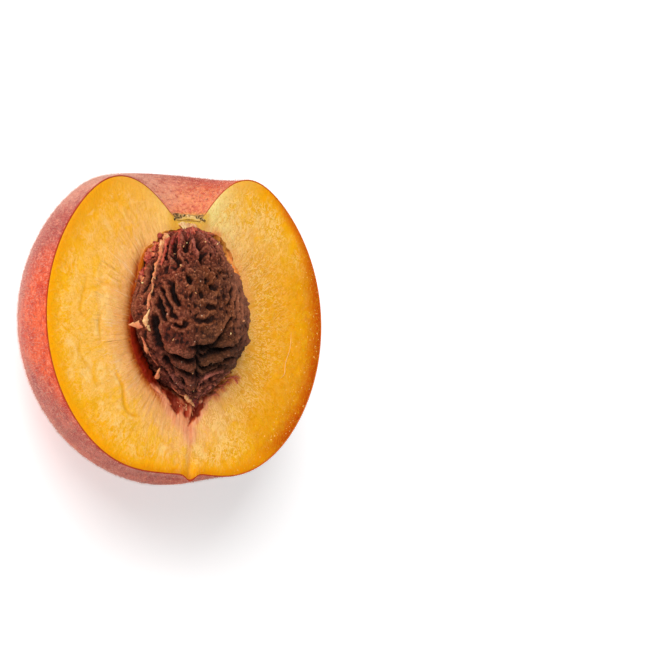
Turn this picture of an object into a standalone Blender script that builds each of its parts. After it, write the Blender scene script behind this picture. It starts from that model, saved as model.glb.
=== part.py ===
"""One half of a ripe yellow peach, lying on its round back with the cut face up and its stone still in it.

The fruit frame has +Y towards the stalk end, +X towards the fuller cheek and the knife's cut at Z = 0.
The fruit is a UV sphere whose points are moved out to a radius that depends on two angles: the polar
angle from the stalk end, and the turn about the stalk axis. The finished half is then set down, so that
Z = 0 is the surface that it lies on. Sizes are in metres and angles in radians.
"""

import math

import bmesh
import bpy
from mathutils import Vector

# Fruit: mean radius, how much fuller the stalk end is, and how square the outline is.
# Each is a value on the cut plane, its change towards +X, and its change towards the back.
# The changes fade out at both ends of the stalk axis, where all turns meet in one point.
MEAN_RADIUS = (0.03586, 0.00058, 0.00259)
STALK_END_FULLNESS = (0.00206, -0.00052, -0.00044)
SQUARENESS = (0.00031, 0.0, 0.00050)
FADE_ANGLE = 0.25
FRUIT_CENTRE_Y = -0.0010

# Stalk cavity: a funnel that takes this share of the radius away, and its width as an angle.
# It is filled up to a floor, and the scar's seat is sunk a little way into that floor.
CAVITY_SHARE = 0.44
CAVITY_ANGLE = (0.335, -0.022, -0.019)
CAVITY_STEEPNESS = 2.29
CAVITY_FLOOR_Y = 0.0224

# Blossom end: a shallow dimple with a small point in its middle.
DIMPLE_DEPTH = 0.0037
DIMPLE_ANGLE = 0.436
POINT_HEIGHT = 0.0014
POINT_ANGLE = 0.050

# Stone and pocket: how fast the bluntness of one end gives way to that of the other.
BLUNTNESS_CHANGE = 2.5

# Stone: it lies along Y, a little fuller than flat, with a keel on the seam that turns up at -X.
# Its outline is blunt at the stalk end and pointed at the tip, and its belly sits low.
STONE_TOP_Y = 0.0204
STONE_TIP_Y = -0.0166
STONE_HALF_WIDTH = 0.0129
STONE_HALF_THICKNESS = 0.0112
STONE_KEEL = 0.0008
STONE_KEEL_ANGLE = 0.16
STONE_TURN = math.radians(10)
STONE_CENTRE_X = 0.0003
STONE_FURROWS = 11
STONE_FURROW_SHARE = 0.045
STONE_FURROW_BEND = 0.9
STONE_BLUNTNESS = (0.42, 0.90)
STONE_LOW_BELLY = 0.137

# Pocket: the hollow that the stone fills, wider than the stone at the cut and close to it below.
POCKET_TOP_Y = 0.0209
POCKET_TIP_Y = -0.0206
POCKET_HALF_WIDTH = 0.0150
POCKET_DEPTH = 0.0122
POCKET_CENTRE_X = -0.0003
POCKET_BLUNTNESS = (0.32, 1.15)
POCKET_LOW_BELLY = 0.05

# Stalk scar: what is left of the stalk, a dry dished disc cut through with the fruit.
SCAR_SEAT_Y = 0.0219
SCAR_THICKNESS = 0.0012
SCAR_RADIUS = 0.0033
SCAR_FOOT_RADIUS = 0.0028
SCAR_DISH_RADIUS = 0.0021
SCAR_DISH_DEPTH = 0.0005
SCAR_SHOULDER_SHARE = 0.7

# Fits: the gap between pieces that touch, and how much of the round back is flat where it rests.
GAP = 0.0003
FLAT_SPOT_SAG = 0.0007

# Mesh: segments and rings of each round body, how far the rings crowd towards the poles, the steps
# of a turned one, and the decimals kept in a place.
FRUIT_MESH = (64, 40)
POCKET_MESH = (40, 28)
STONE_MESH = (66, 28)
RINGS_CROWDING = 0.175
TURNED_STEPS = 32
PLACES = 7


def varied(values, side, back):
    """A size at one turn about the stalk axis: side is +1 at +X and -1 at -X, back is 1 behind."""
    on_cut, towards_side, towards_back = values
    return on_cut + towards_side * side + towards_back * back


def fruit_radius(polar, turn):
    """Distance from the fruit's centre to its skin, in the direction of the two angles."""
    fade = 1 - math.exp(-((math.sin(polar) / FADE_ANGLE) ** 2))
    side = math.cos(turn)
    back = math.sin(turn) ** 2
    mean = varied(MEAN_RADIUS, fade * side, fade * back)
    fullness = varied(STALK_END_FULLNESS, fade * side, fade * back)
    squareness = varied(SQUARENESS, fade * side, fade * back)
    body = mean + fullness * math.cos(polar) + squareness * math.cos(2 * polar)
    funnel_angle = varied(CAVITY_ANGLE, side, back)
    funnel = CAVITY_SHARE * math.exp(-((polar / funnel_angle) ** CAVITY_STEEPNESS))
    from_tip = math.pi - polar
    dimple = DIMPLE_DEPTH * math.exp(-((from_tip / DIMPLE_ANGLE) ** 2))
    point = POINT_HEIGHT * math.exp(-((from_tip / POINT_ANGLE) ** 2))
    radius = body * (1 - funnel) - dimple + point
    if polar < funnel_angle:
        radius = max(radius, (CAVITY_FLOOR_Y - FRUIT_CENTRE_Y) / math.cos(polar))
    return radius


def fruit_point(polar, turn):
    """The skin's place in the fruit frame."""
    radius = fruit_radius(polar, turn)
    across = radius * math.sin(polar)
    along = FRUIT_CENTRE_Y + radius * math.cos(polar)
    return Vector((across * math.cos(turn), along, across * math.sin(turn)))


def spindle_point(polar, turn, ends, half_width, half_thickness, bluntness, low_belly):
    """A point on a stone-shaped body that lies along Y between its two ends. Its width is a circle's
    half-width to a power that changes from one end's bluntness to the other's, and low_belly moves
    its widest place towards the tip."""
    top, tip = ends
    height = math.cos(polar)
    middle = (bluntness[1] + bluntness[0]) / 2
    swing = (bluntness[1] - bluntness[0]) / 2
    power = middle - swing * math.tanh(BLUNTNESS_CHANGE * height)
    share = max(1 - height * height, 0.0) ** power * (1 - low_belly * height)
    along = (top + tip) / 2 + (top - tip) / 2 * height
    across = half_width * share * math.cos(turn)
    up = half_thickness * share * math.sin(turn)
    return Vector((across, along, up))


def pocket_point(polar, turn):
    """A point on the hollow's wall."""
    ends = (POCKET_TOP_Y, POCKET_TIP_Y)
    return spindle_point(
        polar, turn, ends, POCKET_HALF_WIDTH, POCKET_DEPTH, POCKET_BLUNTNESS, POCKET_LOW_BELLY
    )


def stone_point(polar, turn):
    """A point on the stone: the body with a keel at +X and at -X, and furrows that run from the stalk
    end and fade at the tip."""
    ends = (STONE_TOP_Y, STONE_TIP_Y)
    point = spindle_point(
        polar, turn, ends, STONE_HALF_WIDTH, STONE_HALF_THICKNESS, STONE_BLUNTNESS, STONE_LOW_BELLY
    )
    from_keel = math.asin(min(abs(math.sin(turn)), 1.0))
    keel = STONE_KEEL / STONE_HALF_WIDTH * math.exp(-((from_keel / STONE_KEEL_ANGLE) ** 2))
    bend = STONE_FURROW_BEND * math.sin(polar) * math.cos(turn)
    wave = 0.5 + 0.5 * math.cos(STONE_FURROWS * turn + bend)
    furrow = STONE_FURROW_SHARE * math.sin(polar) ** 0.5 * wave**2
    point.x *= (1 + keel) * (1 - furrow)
    point.z *= 1 - furrow
    return point


def material(name, colour, roughness):
    """A plain Principled material."""
    made = bpy.data.materials.new(name)
    made.use_nodes = True
    shader = made.node_tree.nodes["Principled BSDF"]
    shader.inputs["Base Color"].default_value = (*colour, 1.0)
    shader.inputs["Roughness"].default_value = roughness
    shader.inputs["Metallic"].default_value = 0.0
    return made


def add_object(name, mesh, collection, parent):
    """Puts a mesh in the scene under its name."""
    made = bpy.data.objects.new(name, mesh)
    collection.objects.link(made)
    made.parent = parent
    return made


def shaped_sphere(name, place, density):
    """A UV sphere with its poles on Y, whose points are moved to place(polar, turn).
    The rings crowd towards the poles, where the fruit and the stone curve most. Places are rounded,
    so that the points meant to lie in the knife's plane lie exactly in it."""
    segments, rings = density
    shape = bmesh.new()
    bmesh.ops.create_uvsphere(shape, u_segments=segments, v_segments=rings, radius=1.0)
    for vertex in shape.verts:
        even = math.acos(max(-1.0, min(1.0, vertex.co.z)))
        polar = even - RINGS_CROWDING * math.sin(2 * even)
        turn = math.atan2(-vertex.co.y, vertex.co.x)
        vertex.co = [round(value, PLACES) for value in place(polar, turn)]
    bmesh.ops.triangulate(shape, faces=shape.faces)
    mesh = bpy.data.meshes.new(name)
    shape.to_mesh(mesh)
    shape.free()
    mesh.shade_smooth()
    return mesh


def block(name, low, high, collection, parent):
    """A box between two corners, which only cuts."""
    shape = bmesh.new()
    bmesh.ops.create_cube(shape, size=1.0)
    low, high = Vector(low), Vector(high)
    for vertex in shape.verts:
        vertex.co = (low + high) / 2 + vertex.co * (high - low)
    mesh = bpy.data.meshes.new(name)
    shape.to_mesh(mesh)
    shape.free()
    return as_cutter(add_object(name, mesh, collection, parent))


def turned_solid(name, profile, collection, parent):
    """A profile of (radius, height) points, from the top down, turned about Y."""
    mesh = bpy.data.meshes.new(name)
    points = [(radius, height, 0.0) for radius, height in profile]
    edges = [(i, i + 1) for i in range(len(points) - 1)]
    mesh.from_pydata(points, edges, [])
    made = add_object(name, mesh, collection, parent)
    turned = made.modifiers.new("turned", "SCREW")
    turned.axis = "Y"
    turned.steps = turned.render_steps = TURNED_STEPS
    turned.use_merge_vertices = True
    turned.merge_threshold = 0.00001
    return made


def as_cutter(cutter):
    """Marks an object as a helper that isn't part of the peach."""
    cutter.hide_render = True
    cutter.display_type = "WIRE"
    return cutter


def boolean(target, cutter, operation):
    """Cuts the target with the cutter, or keeps what both share."""
    modifier = target.modifiers.new(cutter.name, "BOOLEAN")
    modifier.object = cutter
    modifier.operation = operation
    modifier.solver = "EXACT"


def build_flesh(pieces, cutters, parent):
    """The half of the fruit below the knife's cut, down to the flat spot that it rests on, with the
    stone's pocket and the scar's seat taken out. It also sets the parent down: the middle of the
    half stands over the origin, and the flat spot lies at Z = 0."""
    mesh = shaped_sphere("flesh", fruit_point, FRUIT_MESH)
    mesh.materials.append(material("flesh", (0.92, 0.50, 0.06), 0.35))
    flesh = add_object("flesh", mesh, pieces, parent)
    points = [vertex.co for vertex in mesh.vertices if vertex.co.z <= 0]
    low = Vector(map(min, *points))
    high = Vector(map(max, *points))
    depth = -low.z - FLAT_SPOT_SAG
    parent.location = (-(low.x + high.x) / 2, -(low.y + high.y) / 2, depth)
    reach = 2 * MEAN_RADIUS[0]
    slab = block("lower_half", (-reach, -reach, -depth), (reach, reach, 0.0), cutters, parent)
    boolean(flesh, slab, "INTERSECT")
    hollow = shaped_sphere("pocket", pocket_point, POCKET_MESH)
    pocket = as_cutter(add_object("pocket", hollow, cutters, parent))
    pocket.location.x = POCKET_CENTRE_X
    boolean(flesh, pocket, "DIFFERENCE")
    room = SCAR_RADIUS + GAP
    top = 2 * SCAR_SEAT_Y
    profile = [(0.0, top), (room, top), (room, SCAR_SEAT_Y), (0.0, SCAR_SEAT_Y)]
    seat = as_cutter(turned_solid("scar_seat", profile, cutters, parent))
    boolean(flesh, seat, "DIFFERENCE")
    return flesh


def build_stone(pieces, parent):
    """The whole stone, turned a little about its length."""
    mesh = shaped_sphere("stone", stone_point, STONE_MESH)
    mesh.materials.append(material("stone", (0.12, 0.05, 0.03), 0.7))
    stone = add_object("stone", mesh, pieces, parent)
    stone.location.x = STONE_CENTRE_X
    stone.rotation_euler.y = STONE_TURN
    return stone


def build_stalk_scar(pieces, cutters, parent):
    """A dished disc turned about the stalk axis and cut through with the fruit."""
    top = SCAR_THICKNESS
    rim_radius = (SCAR_DISH_RADIUS + SCAR_RADIUS) / 2
    profile = [
        (0.0, top - SCAR_DISH_DEPTH),
        (SCAR_DISH_RADIUS, top - SCAR_DISH_DEPTH),
        (rim_radius, top),
        (SCAR_RADIUS, SCAR_SHOULDER_SHARE * top),
        (SCAR_FOOT_RADIUS, 0.0),
        (0.0, 0.0),
    ]
    scar = turned_solid("stalk_scar", profile, pieces, parent)
    scar.data.materials.append(material("stalk_scar", (0.14, 0.10, 0.04), 0.9))
    scar.location.y = SCAR_SEAT_Y + GAP
    reach = 0.01
    slab = block("scar_cut", (-reach, 0.0, -reach), (reach, 4 * reach, 0.0), cutters, parent)
    boolean(scar, slab, "INTERSECT")
    return scar


def main():
    for old in list(bpy.data.objects):
        bpy.data.objects.remove(old)
    pieces = bpy.data.collections.new("peach_half")
    cutters = bpy.data.collections.new("cutters")
    for collection in (pieces, cutters):
        bpy.context.scene.collection.children.link(collection)
    set_down = bpy.data.objects.new("set_down", None)
    pieces.objects.link(set_down)
    build_flesh(pieces, cutters, set_down)
    build_stone(pieces, set_down)
    build_stalk_scar(pieces, cutters, set_down)


main()
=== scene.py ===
import itertools
import math

import bpy
import numpy as np
from mathutils import Matrix, Vector


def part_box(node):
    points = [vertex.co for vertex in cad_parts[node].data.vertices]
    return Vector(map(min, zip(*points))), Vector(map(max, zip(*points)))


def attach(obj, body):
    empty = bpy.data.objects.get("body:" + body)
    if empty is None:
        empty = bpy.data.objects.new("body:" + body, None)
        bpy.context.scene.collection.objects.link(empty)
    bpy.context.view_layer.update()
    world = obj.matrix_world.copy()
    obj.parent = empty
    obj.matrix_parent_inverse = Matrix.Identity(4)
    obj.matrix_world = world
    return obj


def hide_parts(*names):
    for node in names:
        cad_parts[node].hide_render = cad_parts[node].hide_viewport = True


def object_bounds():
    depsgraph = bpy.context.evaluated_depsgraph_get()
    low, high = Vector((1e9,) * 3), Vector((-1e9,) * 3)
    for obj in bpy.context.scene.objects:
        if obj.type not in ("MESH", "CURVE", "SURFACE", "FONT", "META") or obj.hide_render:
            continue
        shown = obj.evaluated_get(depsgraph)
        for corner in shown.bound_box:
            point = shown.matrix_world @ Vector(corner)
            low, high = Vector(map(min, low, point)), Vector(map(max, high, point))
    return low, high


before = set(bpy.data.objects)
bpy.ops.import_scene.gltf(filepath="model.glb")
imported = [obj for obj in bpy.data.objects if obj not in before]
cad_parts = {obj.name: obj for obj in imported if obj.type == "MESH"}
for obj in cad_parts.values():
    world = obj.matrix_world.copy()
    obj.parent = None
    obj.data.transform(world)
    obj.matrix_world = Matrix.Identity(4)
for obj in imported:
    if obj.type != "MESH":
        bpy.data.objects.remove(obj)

cad_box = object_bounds()


# ---------------------------------------------------------------------------------------
# The flesh: half of a ripe yellow peach, sliced through its stalk cavity and its tip.
# It is one firm, wet body: flat where the knife went, round behind, with the stone's
# hollow in its middle. The skin, the stone and the dry scar are pieces of their own.
# ---------------------------------------------------------------------------------------

# The fruit's own axes: +Y to the stalk end, +X to the fuller cheek, the cut at Z = 0.
# The CAD has the half lying on its back, and set_down takes a place from one to the other.
SCAR_FOOT_Y = 0.0222
flesh_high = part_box("flesh")[1]
scar_low, scar_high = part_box("stalk_scar")
set_down = np.array([(scar_low.x + scar_high.x) / 2, scar_low.y - SCAR_FOOT_Y, flesh_high.z])

# Fruit sizes: on the cut, the change towards +X, and the change towards the back.
MEAN_RADIUS = (0.03586, 0.00058, 0.00259)
STALK_END_FULLNESS = (0.00206, -0.00052, -0.00044)
SQUARENESS = (0.00031, 0.0, 0.00050)
FADE_ANGLE = 0.25
FRUIT_CENTRE_Y = -0.0010
CAVITY_SHARE = 0.44
CAVITY_ANGLE = (0.335, -0.022, -0.019)
CAVITY_STEEPNESS = 2.29
CAVITY_FLOOR_Y = 0.0221
DIMPLE_DEPTH = 0.0037
DIMPLE_ANGLE = 0.436
POINT_HEIGHT = 0.0014
POINT_ANGLE = 0.050

# Hollow sizes. The two radii turn angles round the rim into mm for its noise and its grain.
POCKET_TOP_Y = 0.0209
POCKET_TIP_Y = -0.0206
POCKET_HALF_WIDTH = 0.0150
POCKET_DEPTH = 0.0122
POCKET_CENTRE_X = -0.0003
STONE_CENTRE_X = 0.0003
POCKET_BLUNTNESS = (0.32, 1.15)
POCKET_LOW_BELLY = 0.05
POCKET_RIGHT_SPREAD = 0.0010
BLUNTNESS_CHANGE = 2.5
LEFT_INSET = 0.0008
GAP_DEPTH = 0.0019
RIM_RADIUS_MM = 16.0
GRAIN_RADIUS_MM = 18.0

# Flesh: how far it stops short of the outside of the skin, and its rows of faces.
INSIDE_SKIN = 0.00030
FLESH_COLUMNS = 560
HOLLOW_ROWS = 42
FACE_ROWS = 84
EDGE_ROWS = 4
EDGE_ANGLE = 0.012
SHELL_ROWS = 22
MM = 0.001


def varied(values, side, back):
    """A size at one turn about the stalk axis: its value on the cut, plus its change towards +X
    times side, plus its change towards the back times back."""
    on_cut, towards_side, towards_back = values
    return on_cut + towards_side * side + towards_back * back


def bell(value, reach, power=2):
    """1 at 0 and less on both sides: e to the minus of the value over the reach, to a power."""
    return np.exp(-((value / reach) ** power))


def fruit_radius(polar, turn):
    """Distance from the fruit's centre to the outside of its skin. A mean radius plus cosines of
    the polar angle, less a bell-shaped funnel at the stalk end and a dimple at the tip."""
    fade = 1 - bell(np.sin(polar), FADE_ANGLE)
    side = np.cos(turn)
    back = np.sin(turn) ** 2
    mean = varied(MEAN_RADIUS, fade * side, fade * back)
    fullness = varied(STALK_END_FULLNESS, fade * side, fade * back)
    squareness = varied(SQUARENESS, fade * side, fade * back)
    body = mean + fullness * np.cos(polar) + squareness * np.cos(2 * polar)
    funnel_angle = varied(CAVITY_ANGLE, side, back)
    funnel = CAVITY_SHARE * bell(polar, funnel_angle, CAVITY_STEEPNESS)
    from_tip = math.pi - polar
    dimple = DIMPLE_DEPTH * bell(from_tip, DIMPLE_ANGLE)
    point = POINT_HEIGHT * bell(from_tip, POINT_ANGLE)
    radius = body * (1 - funnel) - dimple + point
    floor = (CAVITY_FLOOR_Y - FRUIT_CENTRE_Y) / np.cos(np.minimum(polar, 1.0))
    return np.where(polar < funnel_angle, np.maximum(radius, floor), radius)


def fruit_surface(around, down, inset):
    """A place on the round side: a ray from the fruit's centre, turned by 'around' in the cut from
    the stalk end and tipped by 'down' behind it, as long as the radius less the inset. It is
    flattened where the half rests."""
    direction = np.stack(
        [np.sin(around) * np.cos(down), np.cos(around) * np.cos(down), -np.sin(down)], axis=-1
    )
    polar = np.arccos(np.clip(direction[..., 1], -1, 1))
    turn = np.arctan2(direction[..., 2], direction[..., 0])
    place = direction * (fruit_radius(polar, turn) - inset)[..., None]
    place[..., 1] += FRUIT_CENTRE_Y
    place[..., 2] = np.maximum(place[..., 2], inset - set_down[2])
    return place


def even_turns(count):
    """Angles round the cut whose outline points are the same length apart along the outline."""
    fine = np.linspace(0, 2 * math.pi, 8001)
    line = fruit_surface(fine, np.zeros_like(fine), 0.0)
    steps = np.linalg.norm(np.diff(line, axis=0), axis=1)
    length = np.concatenate([[0], np.cumsum(steps)])
    return np.interp(np.arange(count) / count * length[-1], length, fine)


def eased(value, start, end):
    """0 up to start, 1 from end on, and a smooth S between them."""
    share = np.clip((value - start) / (end - start), 0, 1)
    return share * share * (3 - 2 * share)


def full_turn(count):
    """Angles in even steps round one turn, the last a step short of the first."""
    return np.linspace(0, 2 * math.pi, count, endpoint=False)


def spindle_share(height, bluntness, low_belly):
    """How wide a stone-shaped body is at a height from -1, its tip, to 1, its top: a circle's
    half-width to a power that passes from one end's bluntness to the other's."""
    middle = (bluntness[1] + bluntness[0]) / 2
    swing = (bluntness[1] - bluntness[0]) / 2
    power = middle - swing * np.tanh(BLUNTNESS_CHANGE * height)
    return np.maximum(1 - height * height, 0.0) ** power * (1 - low_belly * height)


def hollow_half_width(along, to_right):
    """Half the hollow's width in the cut at a place along the stalk axis, a little more on the
    right, where the stone has pulled some flesh away."""
    middle = (POCKET_TOP_Y + POCKET_TIP_Y) / 2
    height = np.clip((along - middle) / ((POCKET_TOP_Y - POCKET_TIP_Y) / 2), -1, 1)
    share = spindle_share(height, POCKET_BLUNTNESS, POCKET_LOW_BELLY)
    spread = POCKET_RIGHT_SPREAD * bell(along - 0.009, 0.007) * to_right
    return share * (POCKET_HALF_WIDTH + spread)


def hollow_rim(around):
    """The hollow's outline in the cut where rays from the fruit's centre at these turns meet it."""
    polar = np.linspace(0, 2 * math.pi, 4001)
    middle = (POCKET_TOP_Y + POCKET_TIP_Y) / 2
    along = middle + (POCKET_TOP_Y - POCKET_TIP_Y) / 2 * np.cos(polar)
    side = np.where(polar < math.pi, 1.0, -1.0)
    across = POCKET_CENTRE_X + side * hollow_half_width(along, side > 0)
    turn = np.unwrap(np.arctan2(across, along - FRUIT_CENTRE_Y))
    x = np.interp(around, turn, across, period=2 * math.pi)
    y = np.interp(around, turn, along, period=2 * math.pi)
    return np.stack([x, y, np.zeros_like(x)], axis=-1)


def unit(vectors):
    """The same directions, each one long."""
    return vectors / np.linalg.norm(vectors, axis=-1, keepdims=True)


def soft_noise(points, size, seed):
    """Gradient noise of about -1 to 1: each corner of a lattice of cubes of this size has its own
    slope from a seeded shuffle, and the eight slopes are blended across each cube."""
    grid = np.asarray(points) / size
    cell = np.floor(grid).astype(int)
    part = grid - cell
    blend = part**3 * (part * (part * 6 - 15) + 10)
    drawn = np.random.default_rng(seed)
    order = drawn.permutation(256)
    slopes = unit(drawn.normal(size=(256, 3)))
    total = 0.0
    for corner in itertools.product((0, 1), repeat=3):
        key = order[(cell[..., 0] + corner[0]) & 255]
        key = order[(key + cell[..., 1] + corner[1]) & 255]
        key = order[(key + cell[..., 2] + corner[2]) & 255]
        lean = (slopes[key] * (part - corner)).sum(-1)
        total = total + lean * np.prod(np.where(corner, blend, 1 - blend), axis=-1)
    return total * 1.6


def layered_noise(points, size, seed, layers):
    """Soft noise plus the same at half the size and half the height, again and again."""
    total = 0.0
    for layer in range(layers):
        total = total + soft_noise(points, size / 2**layer, seed + layer) / 2**layer
    return total


def smooth_path(corners, steps):
    """A path through the corners, bent smoothly at each as a Catmull-Rom curve."""
    given = np.array(corners, float)
    padded = np.concatenate([[2 * given[0] - given[1]], given, [2 * given[-1] - given[-2]]])
    share = np.linspace(0, 1, steps, endpoint=False)[:, None]
    parts = []
    for before, start, end, after in zip(padded, padded[1:], padded[2:], padded[3:]):
        parts.append(
            0.5
            * (
                2 * start
                + (end - before) * share
                + (2 * before - 5 * start + 4 * end - after) * share**2
                + (3 * start - before - 3 * end + after) * share**3
            )
        )
    return np.concatenate([*parts, given[-1:]])


def in_the_cut(corners, steps):
    """A smooth path in the cut through places across and along, in mm."""
    return smooth_path([(*corner, 0.0) for corner in corners], steps)


def tapered(share, tip, power):
    """A path's fullness: 1 in its middle and less towards both ends, as a sine to a power."""
    return np.sin(np.clip(share, tip, 1 - tip) * math.pi) ** power


def nearest_on_path(points, path):
    """Distance from each point to a path of straight runs, how far along it that is from 0 to 1,
    and the step from there to the point."""
    best = np.full(points.shape[:-1], np.inf)
    share = np.zeros_like(best)
    step = np.zeros(points.shape)
    runs = len(path) - 1
    for index in range(runs):
        run = path[index + 1] - path[index]
        part = np.clip(((points - path[index]) @ run) / (run @ run), 0, 1)
        offset = points - path[index] - part[..., None] * run
        distance = np.linalg.norm(offset, axis=-1)
        closer = distance < best
        best = np.where(closer, distance, best)
        share = np.where(closer, (index + part) / runs, share)
        step = np.where(closer[..., None], offset, step)
    return best, share, step


def mesh_of(name, places, corners, sizes):
    """A mesh of places in metres: all its faces' corners in a row, and how many each face has."""
    mesh = bpy.data.meshes.new(name)
    mesh.vertices.add(len(places))
    mesh.vertices.foreach_set("co", (places + set_down).astype(np.float32).ravel())
    mesh.loops.add(len(corners))
    mesh.loops.foreach_set("vertex_index", corners.astype(np.int32))
    mesh.polygons.add(len(sizes))
    starts = np.concatenate([[0], np.cumsum(sizes)[:-1]])
    mesh.polygons.foreach_set("loop_start", starts.astype(np.int32))
    mesh.polygons.foreach_set("loop_total", sizes.astype(np.int32))
    return mesh


def put_in_scene(name, data):
    """An object at the origin that holds a mesh, a lamp or a camera."""
    made = bpy.data.objects.new(name, data)
    bpy.context.scene.collection.objects.link(made)
    return made


def grid_object(name, rows, attributes, grain=None):
    """A piece whose surface is a grid of places, rows by columns, or a stack of such grids. The
    columns close on themselves, and the first and last rows are one point each. Each grid is
    turned outwards by the sign of its volume. Attributes are one number a place. Grain is a pair
    of numbers a place for the UV map, whose first number rises by its own step across the seam."""
    rows = rows.reshape(-1, *rows.shape[-3:])
    count, count_rows, count_columns = rows.shape[:3]
    index = np.arange(count * count_rows * count_columns).reshape(count, count_rows, count_columns)
    for end in (0, -1):
        index[:, end] = index[:, end, :1]
    right = np.roll(index, -1, axis=2)
    quads = np.stack([index[:, :-1], right[:, :-1], right[:, 1:], index[:, 1:]], axis=-1)
    places = rows.reshape(-1, 3)
    a, b, c, d = (places[quads[..., corner]] for corner in range(4))
    volume = ((np.cross(a, b) * c).sum(-1) + (np.cross(a, c) * d).sum(-1)).sum(axis=(1, 2))
    inside_out = volume < 0
    quads[inside_out] = quads[inside_out][..., ::-1]
    used, compact = np.unique(quads.reshape(-1, 4), return_inverse=True)
    quads = compact.reshape(-1, 4)
    keep = quads != np.roll(quads, -1, axis=1)
    mesh = mesh_of(name, places[used], quads[keep], keep.sum(1))
    for label, values in attributes.items():
        layer = mesh.attributes.new(label, "FLOAT", "POINT")
        layer.data.foreach_set("value", values.reshape(-1)[used].astype(np.float32))
    if grain is not None:
        wide = np.concatenate([grain, 2 * grain[:, -1:] - grain[:, -2:-1]], axis=1)
        wide[:, -1, 1] = grain[:, 0, 1]
        pairs = np.stack([wide[:-1, :-1], wide[:-1, 1:], wide[1:, 1:], wide[1:, :-1]], axis=2)
        pairs = pairs.reshape(-1, 4, 2)
        if inside_out[0]:
            pairs = pairs[:, ::-1]
        uv = mesh.uv_layers.new(name="grain")
        uv.uv.foreach_set("vector", pairs[keep].astype(np.float32).ravel())
    mesh.update(calc_edges=True)
    mesh.validate()
    mesh.shade_smooth()
    return put_in_scene(name, mesh)


turns = even_turns(FLESH_COLUMNS)
rim = hollow_rim(turns)
rim_ring = np.stack([np.cos(turns), np.sin(turns), 0 * turns], axis=-1) * RIM_RADIUS_MM
rim_wobble = 0.30 * layered_noise(rim_ring, 4.0, 11, 2) + 0.16 * layered_noise(rim_ring, 1.0, 13, 2)
rim = rim + unit(rim - rim.mean(axis=0)) * (rim_wobble * MM)[:, None]


def left_inset(along):
    """How far the flesh reaches in over the hollow's left edge at a place along the stalk axis."""
    return LEFT_INSET * eased(along, -0.015, -0.008) * eased(along, 0.018, 0.010)


rim[:, 0] += left_inset(rim[:, 1]) * eased(-rim[:, 0], 0.004, 0.009)
outline = fruit_surface(turns, np.zeros_like(turns), INSIDE_SKIN)

# The hollow: rows of the rim's own shape, shrunk towards the deepest point, each at the depth
# that a half-ellipse across the hollow has there.
hollow_share = np.sin(np.linspace(0, math.pi / 2, HOLLOW_ROWS))[:-1]
hollow_middle = np.array([POCKET_CENTRE_X, (POCKET_TOP_Y + POCKET_TIP_Y) / 2, 0.0])
hollow = hollow_middle + (rim - hollow_middle) * hollow_share[:, None, None]
hollow_x = hollow[..., 0]
hollow_y = hollow[..., 1]
wide = hollow_half_width(hollow_y, hollow_x > POCKET_CENTRE_X)
sunk = np.sqrt(np.maximum(wide**2 - (hollow_x - POCKET_CENTRE_X) ** 2, 0))
hollow[..., 2] = -POCKET_DEPTH / POCKET_HALF_WIDTH * sunk
# Flesh reaches in under the stone's edge, so that the gap there is shallow, more so on the left.
reach_in = 0.78 + 0.08 * eased(hollow_y, 0.000, 0.006)
from_stone_axis = hollow_x - STONE_CENTRE_X
beside = np.clip(1 - (from_stone_axis / (reach_in * wide)) ** 2, 0, 1)
to_upper_right = eased(hollow_y, -0.001, 0.004)
to_right = eased(hollow_x, -0.004, 0.006)
edge_depth = GAP_DEPTH + to_right * (0.0025 - 0.0036 * to_upper_right)
to_left_rim = -from_stone_axis / (wide - left_inset(hollow_y))
slope_in = np.where(hollow_x < 0, edge_depth * eased(to_left_rim, 1.02, 0.84), edge_depth)
hollow[..., 2] = np.maximum(hollow[..., 2], -slope_in - (POCKET_DEPTH - GAP_DEPTH) * np.sqrt(beside))
# At both ends torn flesh still fills the hollow up to the stone.
filled_low = 0.40 * eased(-hollow_y, 0.0050, 0.0110) + 0.50 * eased(-hollow_y, 0.0120, 0.0160)
filled = 0.92 * eased(hollow_y, 0.0145, 0.0185) + filled_low
hollow[..., 2] *= 1 - filled

# The cut face: straight runs from the rim to the skin, closer together near both.
run = np.linspace(0, 1, FACE_ROWS)
face_share = run - 0.11 * np.sin(2 * math.pi * run)
face = rim + (outline - rim) * face_share[:, None, None]

# The edge under the skin's own edge, and the round side under the skin, down to its middle.
edge_down = np.linspace(0, EDGE_ANGLE, EDGE_ROWS + 1)[1:]
shell_down = EDGE_ANGLE + (math.pi / 2 - EDGE_ANGLE) * np.linspace(0, 1, SHELL_ROWS + 1)[1:]
lower_down = np.concatenate([edge_down, shell_down])
lower_turns = turns[None, :] * np.ones((len(lower_down), 1))
shell = fruit_surface(lower_turns, lower_down[:, None] * np.ones_like(lower_turns), INSIDE_SKIN)

flesh_rows = np.concatenate([hollow, face, shell])
hollow_end = len(hollow)
face_end = hollow_end + len(face)
in_face = np.zeros(flesh_rows.shape[:2])
in_face[hollow_end:face_end] = 1.0

# How far each place is from the skin, from the hollow's rim and from the cavity's edge, in mm.
x_mm, y_mm = np.moveaxis(flesh_rows / MM, -1, 0)[:2]
flat = np.stack([x_mm, y_mm, np.zeros_like(x_mm)], axis=-1)


def distance_to(line):
    """How far each place of the flesh is from the nearest of these, seen from above, in mm."""
    nearest = np.full(x_mm.shape, np.inf)
    for corner in line / MM:
        nearest = np.minimum(nearest, np.hypot(x_mm - corner[0], y_mm - corner[1]))
    return nearest


CAVITY_EDGE_ANGLE = 0.46
from_skin = distance_to(outline)
from_stone = distance_to(rim)
from_cavity = distance_to(outline[np.abs(turns - math.pi) > math.pi - CAVITY_EDGE_ANGLE])
inside = from_stone.copy()
inside[hollow_end:] = 0.0
from_stone[:hollow_end] = 0.0
from_skin[face_end:] = 0.0

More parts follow.
